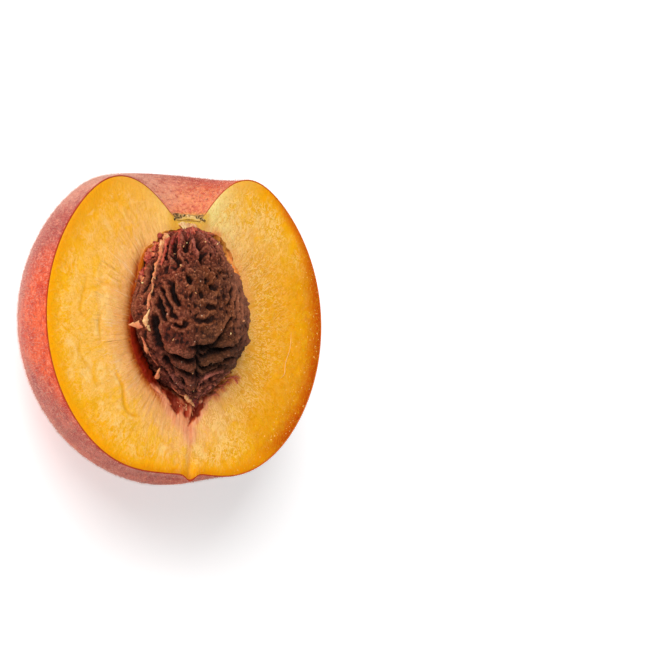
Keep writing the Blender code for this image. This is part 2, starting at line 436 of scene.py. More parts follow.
# Marks that the knife and the fruit's own veins leave in the face: depth, width, and places.
VEINS = (
    (0.15, 0.28, ((-25.3, 9.9), (-25.6, 7.6), (-26.5, 5.1), (-27.0, 2.6), (-25.7, 1.4))),
    (0.12, 0.26, ((-25.4, 6.9), (-23.4, 7.3), (-21.5, 7.9), (-18.7, 7.8))),
    (0.18, 0.30, ((-22.1, 2.2), (-22.4, -0.4), (-22.0, -3.9))),
    (0.26, 0.32, ((-18.2, -10.5), (-16.7, -13.0), (-16.3, -16.6), (-14.9, -18.4), (-12.8, -19.0))),
    (0.09, 0.50, ((-27.4, -4.8), (-26.4, -7.2), (-24.6, -9.0), (-23.4, -11.8), (-20.8, -13.2))),
)
vein = np.zeros_like(x_mm)
for depth, width, corners in VEINS:
    distance, share, _ = nearest_on_path(flat, in_the_cut(corners, 8))
    vein = np.maximum(vein, depth * tapered(share, 0.06, 0.4) * bell(distance, width))

# The seam: where the two cheeks meet, it runs from the hollow's torn tip to a crease at the end.
seam_path = in_the_cut(((-0.6, -19.0), (-0.1, -22.5), (-0.2, -26.2), (-0.1, -33.2)), 8)
seam_distance, seam_share, _ = nearest_on_path(flat, seam_path)
seam_width = 0.8 + 0.4 * eased(seam_share, 0.7, 1.0)
crease = (0.04 + 0.36 * eased(seam_share, 0.60, 0.95)) * bell(seam_distance, seam_width)

# Fibres: they stand round the stone like lashes, strongest on the left, and the knife drags them.
around_mm = turns[None, :] * GRAIN_RADIUS_MM * np.ones_like(x_mm)
lash_places = np.stack([around_mm, from_stone * 0.13, np.zeros_like(x_mm)], axis=-1)
lash = np.abs(soft_noise(lash_places, 0.85, 31)) ** 0.7
lash_zone = bell(from_stone, 11.0) * (0.45 + 0.55 * eased(-x_mm, -6, 8))
curd = layered_noise(flat + 0.6 * soft_noise(flat, 3.0, 5)[..., None], 2.6, 7, 3)
swell = layered_noise(flat, 11.0, 3, 2)
lip = 0.42 * bell(from_stone, 1.2) + 0.30 * bell(from_stone, 2.6)
lip = lip * (0.40 + 0.60 * eased(-x_mm, -4, 6))
lip = lip * (1 - 0.8 * eased(-y_mm, 11, 15)) * (1 - 0.7 * eased(y_mm, 16, 19))
relief = 0.20 * (0.5 + 0.5 * swell) + 0.07 * (curd + 1) + 0.16 * lash_zone * (1 - lash)
fade_out = eased(from_skin, 0.0, 3.4)
drop = (relief * fade_out + vein + crease) * MM + lip * MM
drop += 0.10 * MM * np.exp(-from_skin / 0.25)
flesh_rows[..., 2] -= drop * in_face

# The hollow's wall is torn: pulled fibres leave it ribbed from the rim down.
wall_rows = flesh_rows[:hollow_end]
wall_places = np.stack(
    [turns[None, :] * RIM_RADIUS_MM * np.ones_like(wide), wall_rows[..., 2] / MM * 0.35, wide * 0], axis=-1
)
ribs = layered_noise(wall_places, 1.1, 17, 3)
outward = wall_rows - hollow_middle
outward /= np.maximum(np.linalg.norm(outward, axis=-1, keepdims=True), 1e-6)
flesh_rows[:hollow_end] += outward * (0.28 * MM * ribs * eased(hollow_share, 0.1, 0.6)[:, None])[..., None]
ragged_edge = eased(x_mm, 1.5, 5.0) * eased(y_mm, -2.0, 4.0) * bell(from_stone, 0.8)
ragged_edge *= layered_noise(flat, 1.5, 29, 2)
flesh_rows[:face_end, :, 0] += 0.45 * MM * ragged_edge[:face_end]
# The stone's upper left shoulder is flat, so the flesh comes in closer there, and over the
# stone's top the flesh under the scar stays on it: each moved so far across and along, in mm.
shoulder = np.exp(-(((x_mm + 8.7) ** 2 + (y_mm - 18.3) ** 2) / 2.4**2))
brow = bell(x_mm + 0.6, 7.2, 4) * bell(y_mm - 20.4, 1.9)
for closer, across_by, along_by in ((shoulder, 0.6, -1.3), (brow, 0.0, -0.9)):
    closer[:hollow_end] *= eased(hollow_share, 0.3, 0.9)[:, None]
    flesh_rows[:face_end, :, 0] += across_by * MM * closer[:face_end]
    flesh_rows[:face_end, :, 1] += along_by * MM * closer[:face_end]
torn = layered_noise(hollow / MM * np.array([1.0, 0.45, 1.0]), 1.3, 23, 3)
flesh_rows[:hollow_end, :, 2] += 0.42 * MM * torn * filled
torn_share = np.zeros_like(x_mm)
torn_share[:hollow_end] = torn
flesh_rows[:hollow_end, :, 2] -= (lip[hollow_end] * MM) * eased(hollow_share, 0.85, 1.0)[:, None]

# Red shreds that stayed on the face when the halves were pulled apart: reach, and where in mm.
RED_SHREDS = (
    (1.7, 6.4, -14.2),
    (1.3, 8.6, -13.2),
    (1.2, 10.6, -11.4),
    (1.0, 12.4, -11.2),
    (1.6, 3.0, -17.0),
    (1.3, 1.2, -19.6),
    (1.4, -0.2, -21.6),
    (1.3, -7.0, -14.4),
    (1.2, 7.2, 19.4),
)
ragged = flat + 0.6 * np.stack([soft_noise(flat, 1.7, 27), soft_noise(flat, 1.7, 28), 0 * x_mm], axis=-1)
red_patch = np.zeros_like(x_mm)
for reach, across_at, along_at in RED_SHREDS:
    gap = np.hypot(ragged[..., 0] - across_at, ragged[..., 1] - along_at)
    red_patch = np.maximum(red_patch, bell(gap, reach, 3))

# The torn tip: a shallow pink bed with deep red pockets torn into it, and a pink border.
POCKETS = (
    (0.9, 1.15, ((-5.4, -12.8), (-4.2, -14.8), (-3.5, -16.8), (-3.0, -19.2))),
    (0.9, 0.85, ((3.9, -15.4), (2.7, -17.4), (1.3, -18.9), (-0.3, -21.0))),
    (0.4, 0.55, ((-1.9, -16.0), (-1.2, -17.8), (-0.5, -19.8))),
    (0.1, 0.34, ((0.0, -21.2), (-0.3, -22.8), (-0.2, -24.4))),
)
BORDERS = (
    (1.6, ((-8.0, -12.0), (-6.3, -14.2), (-4.9, -17.2), (-3.0, -19.6), (0.0, -22.2), (-0.3, -24.0))),
    (0.6, ((4.4, -16.2), (3.2, -18.4), (1.6, -20.4), (0.2, -22.2))),
)
fray = layered_noise(flat * np.array([1.0, 0.5, 1.0]), 0.8, 33, 2)
pocket = np.zeros_like(x_mm)
for depth, width, corners in POCKETS:
    distance, share, _ = nearest_on_path(ragged, in_the_cut(corners, 6))
    taper = tapered(share, 0.04, 0.7)
    frayed = np.maximum(distance + 0.30 * fray, 0)
    pocket = np.maximum(pocket, depth * taper * bell(frayed, width * taper))
border = np.zeros_like(x_mm)
for reach, corners in BORDERS:
    border = np.maximum(border, bell(nearest_on_path(ragged, in_the_cut(corners, 6))[0], reach))
flesh_rows[:face_end, :, 2] -= pocket[:face_end] * MM

row_number = np.arange(len(flesh_rows))[:, None] * np.ones_like(x_mm)
flesh = grid_object(
    "peach_flesh",
    flesh_rows,
    {
        "from_skin": from_skin,
        "from_stone": from_stone,
        "from_cavity": from_cavity,
        "vein": np.clip(vein / 0.16, 0, 1),
        "seam": bell(seam_distance, 0.6) * in_face,
        "torn": np.clip(0.5 + 0.5 * torn_share, 0, 1),
        "red_patch": red_patch * in_face,
        "pocket": np.clip(pocket / 0.5, 0, 1),
        "border": border,
        "inside": inside,
        "in_hollow": 1 - eased(row_number, hollow_end - 1, hollow_end + 1),
    },
    np.stack([around_mm, from_stone], axis=-1),
)


class Link:
    """One socket of a node tree. Sums, differences and products of links add Math nodes."""

    def __init__(self, finish, socket):
        self.finish = finish
        self.socket = socket

    def maths(self, operation, *values, clamp=False):
        return self.finish.make("Math", dict(enumerate(values)), operation=operation, use_clamp=clamp)

    def __add__(self, other):
        return self.maths("ADD", self, other)

    def __radd__(self, other):
        return self.maths("ADD", other, self)

    def __sub__(self, other):
        return self.maths("SUBTRACT", self, other)

    def __rsub__(self, other):
        return self.maths("SUBTRACT", other, self)

    def __mul__(self, other):
        return self.maths("MULTIPLY", self, other)

    def size(self):
        """The value without its sign."""
        return self.maths("ABSOLUTE", self)

    def held(self):
        """The value kept between 0 and 1."""
        return self.maths("ADD", self, 0.0, clamp=True)

    def shaken(self, noise, by):
        """The value pushed up and down by a noise from 0 to 1, by up to half of this each way."""
        return self + (noise - 0.5) * by

    def eased(self, start, end):
        """0 up to start, 1 from end on, and a smooth S between them."""
        ranges = {"From Min": start, "From Max": end, "Value": self}
        return self.finish.make("MapRange", ranges, interpolation_type="SMOOTHSTEP")


class Finish:
    """A material, its node tree, and the one way to add a node to it."""

    def __init__(self, name):
        self.material = bpy.data.materials.new(name)
        self.material.use_nodes = True
        self.tree = self.material.node_tree

    def fill(self, node, values):
        """Sets a node's sockets, by value or by link."""
        for socket, value in values.items():
            if isinstance(value, Link):
                self.tree.links.new(value.socket, node.inputs[socket])
            else:
                node.inputs[socket].default_value = value

    def make(self, kind, values, output=0, **settings):
        """Adds a node of a kind, sets its settings, then its sockets, and gives one output."""
        node = self.tree.nodes.new("ShaderNode" + kind)
        for setting, value in settings.items():
            setattr(node, setting, value)
        self.fill(node, values)
        return Link(self, node.outputs[output])

    def place(self):
        """The place in metres in the object's own axes."""
        return self.make("TexCoord", {}, "Object")

    def axis(self, place, letter):
        """One of a place's three numbers, X, Y or Z."""
        return self.make("SeparateXYZ", {"Vector": place}, letter)

    def measure(self, name):
        """A number that the mesh carries at each place."""
        return self.make("Attribute", {}, "Fac", attribute_name=name)

    def mix(self, share, first, second):
        """The first colour giving way to the second as the share goes from 0 to 1."""
        values = {0: share, 6: first, 7: second}
        return self.make("Mix", values, 2, data_type="RGBA", blend_type="MIX")

    def layered(self, colour, *layers):
        """A colour with others laid over it one by one, each given as its share and its shade."""
        for share, over in layers:
            colour = self.mix(share, colour, over)
        return colour

    def ramp(self, share, stops):
        """A colour that changes with a share from stop to stop, each its position and shade."""
        made = self.make("ValToRGB", {"Fac": share}, "Color")
        elements = made.socket.node.color_ramp.elements
        while len(elements) < len(stops):
            elements.new(0.5)
        for element, (position, tint) in zip(elements, stops):
            element.position = position
            element.color = tint
        return made

    def noise(self, place, scale, detail=2.0, roughness=0.5, distortion=0.0):
        """Cloudy noise from 0 to 1 with this many lumps a metre."""
        values = {
            "Vector": place,
            "Scale": scale,
            "Detail": detail,
            "Roughness": roughness,
            "Distortion": distortion,
        }
        return self.make("TexNoise", values)

    def stretched(self, place, x, y):
        """The place with its first two axes scaled, so that a pattern is drawn out along one."""
        return self.make("Mapping", {"Vector": place, "Scale": (x, y, 1.0)})

    def bump(self, strength, depth, height):
        """The way the surface faces, tipped by the slopes of a height whose 1 is this depth."""
        return self.make("Bump", {"Strength": strength, "Distance": depth, "Height": height})

    def put_on(self, piece, values):
        """Sets the shader's sockets and gives the material to a piece."""
        self.fill(self.tree.nodes["Principled BSDF"], values)
        piece.data.materials.append(self.material)


def shade(red, green, blue):
    """A colour given as it looks on a screen, 0 to 255, as the linear light a shader takes."""
    parts = [value / 255 for value in (red, green, blue)]
    return (*(p / 12.92 if p <= 0.04045 else ((p + 0.055) / 1.055) ** 2.4 for p in parts), 1.0)


juicy = Finish("juicy_flesh")
place = juicy.place()
across = juicy.axis(place, "X")
along = juicy.axis(place, "Y")
grain_map = juicy.make("UVMap", {}, uv_map="grain")
skin_mm = juicy.measure("from_skin")
stone_mm = juicy.measure("from_stone")
cavity_mm = juicy.measure("from_cavity")

# Curds: matt pale clumps, drawn out away from the stone, in clear golden flesh.
cloud = juicy.noise(place, 120.0, 3.0, 0.55, 0.4)
blotch = juicy.noise(place, 330.0, 3.0, 0.6, 0.8)
curl = juicy.noise(juicy.stretched(grain_map, 1.35, 0.70), 0.50, 4.0, 0.62, 1.6)
curl_fine = juicy.noise(juicy.stretched(grain_map, 1.45, 0.50), 1.25, 3.0, 0.6, 1.5)
ripe = (across + cloud * 0.016 - 0.008).eased(0.006, 0.020) * along.eased(0.023, 0.008)
paleness = (skin_mm.shaken(cloud, 9.0) - 0.6).eased(0.0, 6.5) * (1.0 - ripe * 0.35)
paleness = paleness * (1.0 - along.eased(-0.013, -0.021) * 0.3)
paleness = paleness * (1.0 - along.eased(0.020, 0.028) * 0.3)
mottle = curl * 0.42 + curl_fine * 0.38 + blotch * 0.20
curds = (mottle + paleness * 0.150 - 0.578).eased(-0.045, 0.05)
curds = curds * (1.0 - ripe * skin_mm.eased(9.0, 5.0) * 0.8)

# Strokes, veinlets and threads: fibres cut across, and drawn out away from the stone. The dark strokes are
# painted shade beside the pale fibres.
stroke = juicy.noise(juicy.stretched(grain_map, 1.0, 0.055), 2.2, 3.0, 0.65, 0.6)
stroke_light = stroke.eased(0.44, 0.34)
stroke_patch = juicy.noise(grain_map, 0.35).eased(0.32, 0.52)
stroke_zone = stone_mm.eased(14.0, 3.0) * (across.eased(0.014, -0.006) * 0.75 + 0.25) * stroke_patch
stroke_zone = stroke_zone * along.eased(0.022, 0.014) * (0.3 + along.eased(-0.018, -0.012) * 0.7)
veinlet = juicy.noise(juicy.stretched(grain_map, 1.0, 0.6), 0.9, 2.0, 0.5, 2.2)
veinlet = (veinlet - 0.5).size().eased(0.022, 0.002)
thread = juicy.noise(juicy.stretched(grain_map, 1.0, 0.45), 1.15, 2.0, 0.5, 2.6)
thread_zone = juicy.noise(place, 200.0).eased(0.34, 0.50) * (1.0 - ripe * skin_mm.eased(15.0, 7.0) * 0.9)
thread_zone = thread_zone * skin_mm.eased(0.8, 3.5) * (0.35 + across.eased(-0.003, 0.004) * 0.65)
pale_thread = (thread - 0.57).size().eased(0.075, 0.025) * thread_zone
dark_thread = (thread - 0.44).size().eased(0.050, 0.010) * thread_zone

# The clear flesh turns amber just under the skin, most of all on the ripe side.
ripe_edge = (across + cloud * 0.008 - 0.004).eased(0.009, 0.020) * along.eased(0.031, 0.024)
amber = juicy.mix(ripe, shade(218, 106, 10), shade(192, 76, 2))
at_skin = juicy.mix(ripe_edge, shade(249, 160, 3), amber)
at_skin = juicy.mix(along.eased(-0.024, -0.029), at_skin, shade(232, 142, 2))
skin_shaken = skin_mm.shaken(cloud, 2.0)
gold = juicy.layered(
    juicy.mix(paleness, shade(245, 167, 6), shade(238, 173, 24)),
    (ripe, shade(232, 152, 2)),
    (skin_shaken.eased(1.8 + ripe_edge * 0.3 + ripe * 3.1, 0.2), at_skin),
)
pale = juicy.mix(ripe, shade(245, 184, 78), shade(240, 164, 30))
pale = juicy.mix(skin_shaken.eased(5.0, 0.5) * 0.7, pale, gold)
near = juicy.mix(ripe, shade(240, 177, 120), shade(236, 162, 46))
near_share = stone_mm.shaken(curl, 12.0).eased(11.0, 1.0) * (1.0 - ripe * 0.5)
lobe_share = cavity_mm.shaken(cloud, 4.0).eased(6.0, 0.5) * 0.85
scar_foot = (float(set_down[0]), float(set_down[1]) + SCAR_FOOT_Y, float(set_down[2]))
from_scar = juicy.make("VectorMath", {0: place, 1: scar_foot}, "Value", operation="DISTANCE")
scar_pale = from_scar.eased(0.018, 0.006) * (0.38 + across.eased(-0.004, 0.002) * 0.62)
fine_share = (curl_fine - 0.5) * 2.4
fine_pale = fine_share.held() * (1.0 - ripe * 0.95) * skin_mm.eased(0.5, 3.5)
patchy = juicy.noise(juicy.stretched(place, 1.0, 0.75), 300.0, 4.0, 0.62, 1.4)
patchy_zone = skin_mm.eased(1.0, 4.0) * stone_mm.eased(1.5, 6.0) * (1.0 - ripe * 0.5)
# Painted glints: small pale flecks on the wet, ripe flesh that stand for highlights.
painted_glints = juicy.noise(place, 2100.0, 1.0).eased(0.68, 0.74)
colour = juicy.layered(
    gold,
    (curds, pale),
    (near_share * 0.8, near),
    (lobe_share * 0.8, shade(240, 181, 78)),
    (scar_pale, shade(255, 226, 144)),
    (from_scar.eased(0.0064, 0.0042) * 0.75, shade(232, 172, 44)),
    (fine_pale * 0.40, shade(255, 212, 122)),
    ((0.0 - fine_share).held() * 0.55, shade(226, 150, 26)),
    (veinlet * 0.60, shade(222, 160, 14)),
    (patchy.eased(0.52, 0.60) * patchy_zone * 0.70, shade(242, 176, 22)),
    (patchy.eased(0.46, 0.36) * patchy_zone * (1.0 - ripe * 0.8) * 0.55, shade(250, 206, 128)),
    (pale_thread * 0.62, shade(255, 208, 128)),
    (dark_thread * 0.62, shade(216, 150, 14)),
    # Painted shade: dark strokes that stand for thin shadows beside the pale fibres.
    (stroke.eased(0.57, 0.66) * stroke_zone * 0.60, shade(160, 96, 44)),
    (stroke_light * stroke_zone * 0.75, shade(255, 220, 168)),
    (juicy.measure("vein") * 0.85, shade(228, 156, 12)),
    (painted_glints * ripe * skin_mm.eased(14.0, 4.0) * 0.7, shade(254, 204, 116)),
)

# Red: the flesh that touched the stone, the torn tip below it, and the seam. Beside the stone's left edge
# it is partly painted shade.
red_noise = juicy.noise(grain_map, 1.2, 3.0, 0.6, 0.3)
red_or_pale = red_noise.eased(0.35, 0.6)
seam_red = (juicy.measure("seam") * along.eased(-0.018, -0.021) * (red_noise * 1.6 - 0.1)).held()
to_cavity = along.eased(0.003, 0.008) * across.eased(0.000, 0.005)
torn_edge = stone_mm.shaken(red_noise, 3.0).eased(2.0, 1.0) * to_cavity
beside_left = across.eased(0.001, -0.006) * along.eased(0.017, 0.010)
upper_left = across.eased(0.002, -0.012) * along.eased(0.010, 0.020)
left_flush = stone_mm.shaken(stroke, 8.0).eased(7.0, 1.5)
left_flush = left_flush * across.eased(-0.002, -0.008) * along.eased(0.016, 0.008)
# Amber and dark brown beside the stone's left edge: partly the flesh's own red, partly painted shade of the
# gap.
rim_amber = stone_mm.shaken(red_noise, 1.4).eased(2.4, 0.3) * beside_left * (1.0 - stroke_light * 0.5)
rim_brown = stone_mm.shaken(red_noise, 1.0).eased(1.1, 0.0) * beside_left
border_pink = juicy.measure("border").shaken(red_noise, 0.5).eased(0.15, 0.75)
colour = juicy.layered(
    colour,
    (seam_red * 0.40, shade(222, 130, 66)),
    (juicy.measure("red_patch") * 0.8, juicy.mix(red_or_pale, shade(176, 60, 24), shade(226, 110, 60))),
    (torn_edge * 0.3, shade(250, 166, 96)),
    (upper_left * 0.30, shade(226, 152, 40)),
    (left_flush * 0.42, shade(206, 128, 72)),
    (rim_amber * 0.90, shade(190, 96, 22)),
    (rim_brown * 0.90, juicy.mix(red_or_pale, shade(128, 36, 8), shade(160, 62, 12))),
    (border_pink * 0.75, juicy.mix(stroke.eased(0.4, 0.62), shade(238, 168, 124), shade(222, 136, 96))),
)

# The hollow's wall, and the pockets torn into the tip.
inside_mm = juicy.measure("inside").shaken(red_noise, 0.5)
red_shreds = juicy.noise(juicy.stretched(place, 1.0, 0.35), 900.0, 3.0, 0.6, 0.5)
torn = juicy.measure("torn").shaken(red_shreds, 0.5)
low_wall = juicy.layered(
    juicy.mix(torn.eased(0.30, 0.66), shade(166, 66, 40), shade(212, 122, 84)),
    (torn.eased(0.70, 0.90), shade(232, 162, 118)),
    (inside_mm.eased(1.0, 0.1) * 0.7, shade(228, 150, 106)),
)
# The wall's dark red is partly the flesh's own red by the stone and partly painted shade in the narrow gap.
wall = juicy.layered(
    shade(130, 26, 2),
    (inside_mm.eased(-0.3, 0.5), juicy.mix(red_noise, shade(140, 32, 6), shade(92, 16, 4))),
    (along.eased(0.005, 0.011) * 0.85, shade(188, 100, 18)),
    (across.eased(0.001, 0.006), shade(255, 164, 84)),
    (along.eased(-0.0115, -0.0140), low_wall),
    (
        along.eased(0.0135, 0.0185),
        juicy.mix(red_shreds.eased(0.40, 0.60), shade(158, 76, 26), shade(204, 132, 52)),
    ),
)
pocket = juicy.measure("pocket")
pocket_red = juicy.mix(red_shreds.eased(0.40, 0.66), shade(116, 18, 4), shade(174, 54, 24))
# The deepest part of each torn pocket is darker: painted shade at its bottom.
pocket_red = juicy.mix(pocket.eased(0.55, 1.0) * 0.75, pocket_red, shade(98, 12, 2))
colour = juicy.layered(
    colour,
    (juicy.measure("in_hollow"), wall),
    (pocket.eased(0.05, 0.65) * 0.94, pocket_red),
)

height = curl * 0.5 + curl_fine * 0.35 + stroke * stroke_zone * 0.5 - veinlet * 0.1
juicy.put_on(
    flesh,
    {
        "Base Color": colour,
        "Roughness": 0.42 - ripe * 0.16 + curds * 0.08,
        "Normal": juicy.bump(0.55, 0.0005, height),
        "Subsurface Weight": 0.25,
        "Subsurface Radius": (1.0, 0.42, 0.12),
        "Subsurface Scale": 0.0015,
        "IOR": 1.38,
        "Specular IOR Level": 0.10,
    },
)
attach(flesh, "root")
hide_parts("flesh")


# ---------------------------------------------------------------------------------------
# The skin: thin and tender, left on when the fruit is halved, so that it ends in a fine
# line at the knife's cut. Coral and orange with crimson blush, and covered in short down.
# ---------------------------------------------------------------------------------------
SKIN_THICKNESS = 0.00026
SKIN_COLUMNS = 560
SKIN_ROWS = 146
SKIN_INNER_ROWS = 20
SKIN_TUCK = 0.00004

skin_turns = even_turns(SKIN_COLUMNS)
skin_down = np.linspace(0, math.pi / 2, SKIN_ROWS)[:, None] * np.ones((1, SKIN_COLUMNS))
skin_around = skin_turns[None, :] * np.ones_like(skin_down)
outside = fruit_surface(skin_around, skin_down, SKIN_TUCK)
ripple = layered_noise(outside / MM, 9.0, 41, 3)
inwards = unit(-outside)
outside = outside + inwards * (0.06 * MM * (1 + ripple))[..., None] * eased(skin_down, 0, 0.1)[..., None]
outside[..., 2] = np.maximum(outside[..., 2], SKIN_TUCK - set_down[2])
inner_down = np.linspace(math.pi / 2, 0, SKIN_INNER_ROWS)[:, None] * np.ones((1, SKIN_COLUMNS))
inner_around = skin_turns[None, :] * np.ones_like(inner_down)
inside = fruit_surface(inner_around, inner_down, SKIN_TUCK + SKIN_THICKNESS)
lip_row = (outside[0] + inside[-1]) / 2
lip_row[:, 2] = 0.0
outside[0, :, 2] = -0.05 * MM
inside[-1, :, 2] = -0.05 * MM
skin_rows = np.concatenate([outside[::-1], lip_row[None], inside[::-1]])
skin_x, skin_y, skin_z = np.moveaxis(skin_rows / MM, -1, 0)
from_stalk = np.hypot(skin_x, skin_z)
cavity_depth = eased(from_stalk, 14.0, 6.0) * eased(skin_y, 17.0, 24.0)
scar_bed = eased(from_stalk, 5.2, 4.0) * eased(skin_y, 20.0, 21.5) * eased(skin_y, 24.2, 23.2)

# The blush: patches that follow the fruit from end to end, and spots that the sun has deepened
# or, below zero, that stayed paler: strength, reach and place in mm.
drawn_out = np.stack([skin_x, 0.6 * skin_y, skin_z], axis=-1)
blush = 0.48 + 0.55 * layered_noise(drawn_out, 13.0, 43, 4)
SUN_PATCHES = (
    (0.75, 12.0, (-29.0, 22.0, -9.0)),
    (0.55, 9.0, (-34.0, 8.0, -16.0)),
    (0.60, 9.0, (-29.0, -19.0, -9.0)),
    (0.60, 12.0, (-12.0, -33.0, -9.0)),
    (-0.70, 9.0, (-36.0, 2.0, -2.0)),
    (-0.45, 8.0, (-33.0, -9.0, -3.0)),
    (0.50, 9.0, (0.0, 33.0, -10.0)),
)
for strength, reach, middle in SUN_PATCHES:
    gap = np.linalg.norm(skin_rows / MM - np.array(middle), axis=-1)
    blush += strength * bell(gap, reach)
edge_reach = 0.12 + 0.5 * eased(skin_x, 4, 16)
skin = grid_object(
    "peach_skin",
    skin_rows,
    {
        "cavity": cavity_depth,
        "blush": np.clip(blush, 0, 1),
        "scar_bed": scar_bed,
        "cut_edge": bell(skin_z, edge_reach) * (1 - scar_bed),
    },
)
downy = Finish("downy_skin")
place = downy.place()
upwards = downy.axis(place, "Y")
across = downy.axis(place, "X")
mottle = downy.noise(downy.stretched(place, 1.0, 0.6), 380.0, 5.0, 0.68, 0.6)
speckle = downy.noise(place, 1300.0, 3.0, 0.7)
streak = downy.noise(downy.stretched(place, 1.0, 0.16), 1300.0, 3.0, 0.6, 0.3)
warm = downy.mix(mottle.eased(0.35, 0.65), shade(188, 52, 28), shade(224, 92, 46))
deep = downy.mix(mottle.eased(0.3, 0.7), shade(140, 50, 48), shade(184, 84, 70))
wall = downy.mix(streak.eased(0.38, 0.64), shade(234, 142, 90), shade(206, 92, 62))
bed = downy.mix(streak.eased(0.4, 0.6), shade(214, 160, 72), shade(182, 132, 58))
edge_shade = downy.mix(across.eased(0.004, 0.018), shade(168, 50, 18), shade(214, 104, 16))
bloom = across.eased(0.009, -0.005) * upwards.eased(0.0210, 0.0290) * mottle.eased(0.15, 0.70)
pale_low = upwards.eased(-0.008, -0.026) * mottle.eased(0.25, 0.75)
colour = downy.layered(
    warm,
    (downy.measure("blush").shaken(mottle, 1.1).held(), deep),
    (downy.measure("cavity") * 0.85, wall),
    (bloom * 0.75, shade(212, 158, 134)),
    (pale_low * 0.22, shade(222, 150, 120)),
    # Pale speckles stand for lenticels and also for painted glints on the down.
    (speckle.eased(0.54, 0.68) * 0.56, shade(244, 160, 124)),
    (speckle.eased(0.47, 0.33) * 0.60, shade(140, 40, 36)),
    (downy.measure("scar_bed"), bed),
    (downy.measure("cut_edge") * 0.9, edge_shade),
)
downy.put_on(
    skin,
    {
        "Base Color": colour,
        "Roughness": 0.8,
        "Normal": downy.bump(0.4, 0.0002, speckle),
        "Sheen Weight": 0.26,
        "Sheen Roughness": 0.30,
        "Sheen Tint": shade(238, 226, 216),
        "Subsurface Weight": 0.10,
        "Subsurface Radius": (1.0, 0.4, 0.2),
        "Subsurface Scale": 0.0012,
        "IOR": 1.4,
        "Specular IOR Level": 0.15,
    },
)
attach(skin, "root")

# The down: short hairs that stand on the skin and lean at random, each a spike of three sides.
HAIRS = 46000
HAIR_LENGTH_MM = (0.25, 0.62)
HAIR_WIDTH_MM = 0.026
HAIR_ROOT_MM = 0.05
HAIR_LEAN = 0.45
HAIR_REACH = 0.985
CLEAR_OF_CUT_MM = 0.02
CLEAR_OF_REST_MM = 0.6

drawn = np.random.default_rng(151)
hair_around = np.interp(drawn.uniform(0, SKIN_COLUMNS, HAIRS), np.arange(SKIN_COLUMNS), skin_turns)
hair_down = np.arcsin(drawn.uniform(0, 1, HAIRS) * HAIR_REACH)
root_at = fruit_surface(hair_around, hair_down, 2 * SKIN_TUCK)
nudge = 0.004
slope_around = fruit_surface(hair_around + nudge, hair_down, 2 * SKIN_TUCK) - root_at
slope_down = fruit_surface(hair_around, hair_down + nudge, 2 * SKIN_TUCK) - root_at
upright_hair = unit(np.cross(slope_around, slope_down))
upright_hair *= np.sign((upright_hair * (root_at - [0, FRUIT_CENTRE_Y, 0])).sum(1))[:, None]
pointing = unit(upright_hair + drawn.normal(size=(HAIRS, 3)) * HAIR_LEAN)
length = drawn.uniform(*HAIR_LENGTH_MM, HAIRS)[:, None] * MM
beside_hair = unit(np.cross(pointing, [0.3, 0.5, 0.8]))
behind_hair = np.cross(pointing, beside_hair)
foot = root_at - HAIR_ROOT_MM * MM * upright_hair
spread = HAIR_WIDTH_MM * MM
feet = [
    foot + spread * (math.cos(angle) * beside_hair + math.sin(angle) * behind_hair)
    for angle in (0.0, 2 * math.pi / 3, 4 * math.pi / 3)
]
ends_of_hair = root_at + pointing * length
low_corner = np.array(cad_box[0]) - set_down
high_corner = np.array(cad_box[1]) - set_down
ends_of_hair = np.clip(ends_of_hair, low_corner, high_corner)
standing = root_at[:, 2] > low_corner[2] + CLEAR_OF_REST_MM * MM
corners = np.stack([*feet, ends_of_hair], axis=1)[standing]
corners[..., 2] = np.minimum(corners[..., 2], -CLEAR_OF_CUT_MM * MM)
first = np.arange(len(corners))[:, None] * 4
sides = np.array([[0, 1, 3], [1, 2, 3], [2, 0, 3], [0, 2, 1]])
triangles = (first[:, None] + sides[None]).reshape(-1, 3)
hair_mesh = mesh_of("peach_down", corners.reshape(-1, 3), triangles.ravel(), np.full(len(triangles), 3))
hair_mesh.update(calc_edges=True)
down = put_in_scene("peach_down", hair_mesh)
fuzzy = Finish("pale_down")
tint = fuzzy.noise(fuzzy.place(), 160.0)
fuzzy.put_on(
    down,
    {
        "Base Color": fuzzy.mix(tint, shade(220, 166, 146), shade(238, 200, 182)),
        "Roughness": 0.7,
        "Specular IOR Level": 0.2,
    },
)
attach(down, "root")


# ---------------------------------------------------------------------------------------
# The stone: the hard, woody pit, left in this half when the two were twisted apart.
# It is lens-shaped with a keel at each side, furrowed and pitted all over, and dark.
# ---------------------------------------------------------------------------------------
STONE_TOP_Y = 0.0204
STONE_TIP_Y = -0.0166
STONE_HALF_WIDTH = 0.0129
STONE_HALF_THICKNESS = 0.0112
STONE_KEEL = 0.0008
STONE_KEEL_ANGLE = 0.16
STONE_TURN = math.radians(10)
STONE_BLUNTNESS = (0.40, 0.90)
STONE_LOW_BELLY = 0.137
STONE_COLUMNS = 440
STONE_ROWS = 221
STONE_CROWD_TURN = math.radians(115)
STONE_CROWDING = 0.50
RINGS_CROWDING = 0.10
STONE_SINK_MM = 0.30
BELOW_TOP_MM = 0.02
# The facet under the left keel is swollen near the stalk end.
FACET_SWELL_MM = 1.9
FACET_TURN = math.radians(205)
FACET_SPREAD = math.radians(26)
middle_mm = (STONE_TOP_Y + STONE_TIP_Y) / 2 / MM
half_mm = (STONE_TOP_Y - STONE_TIP_Y) / 2 / MM


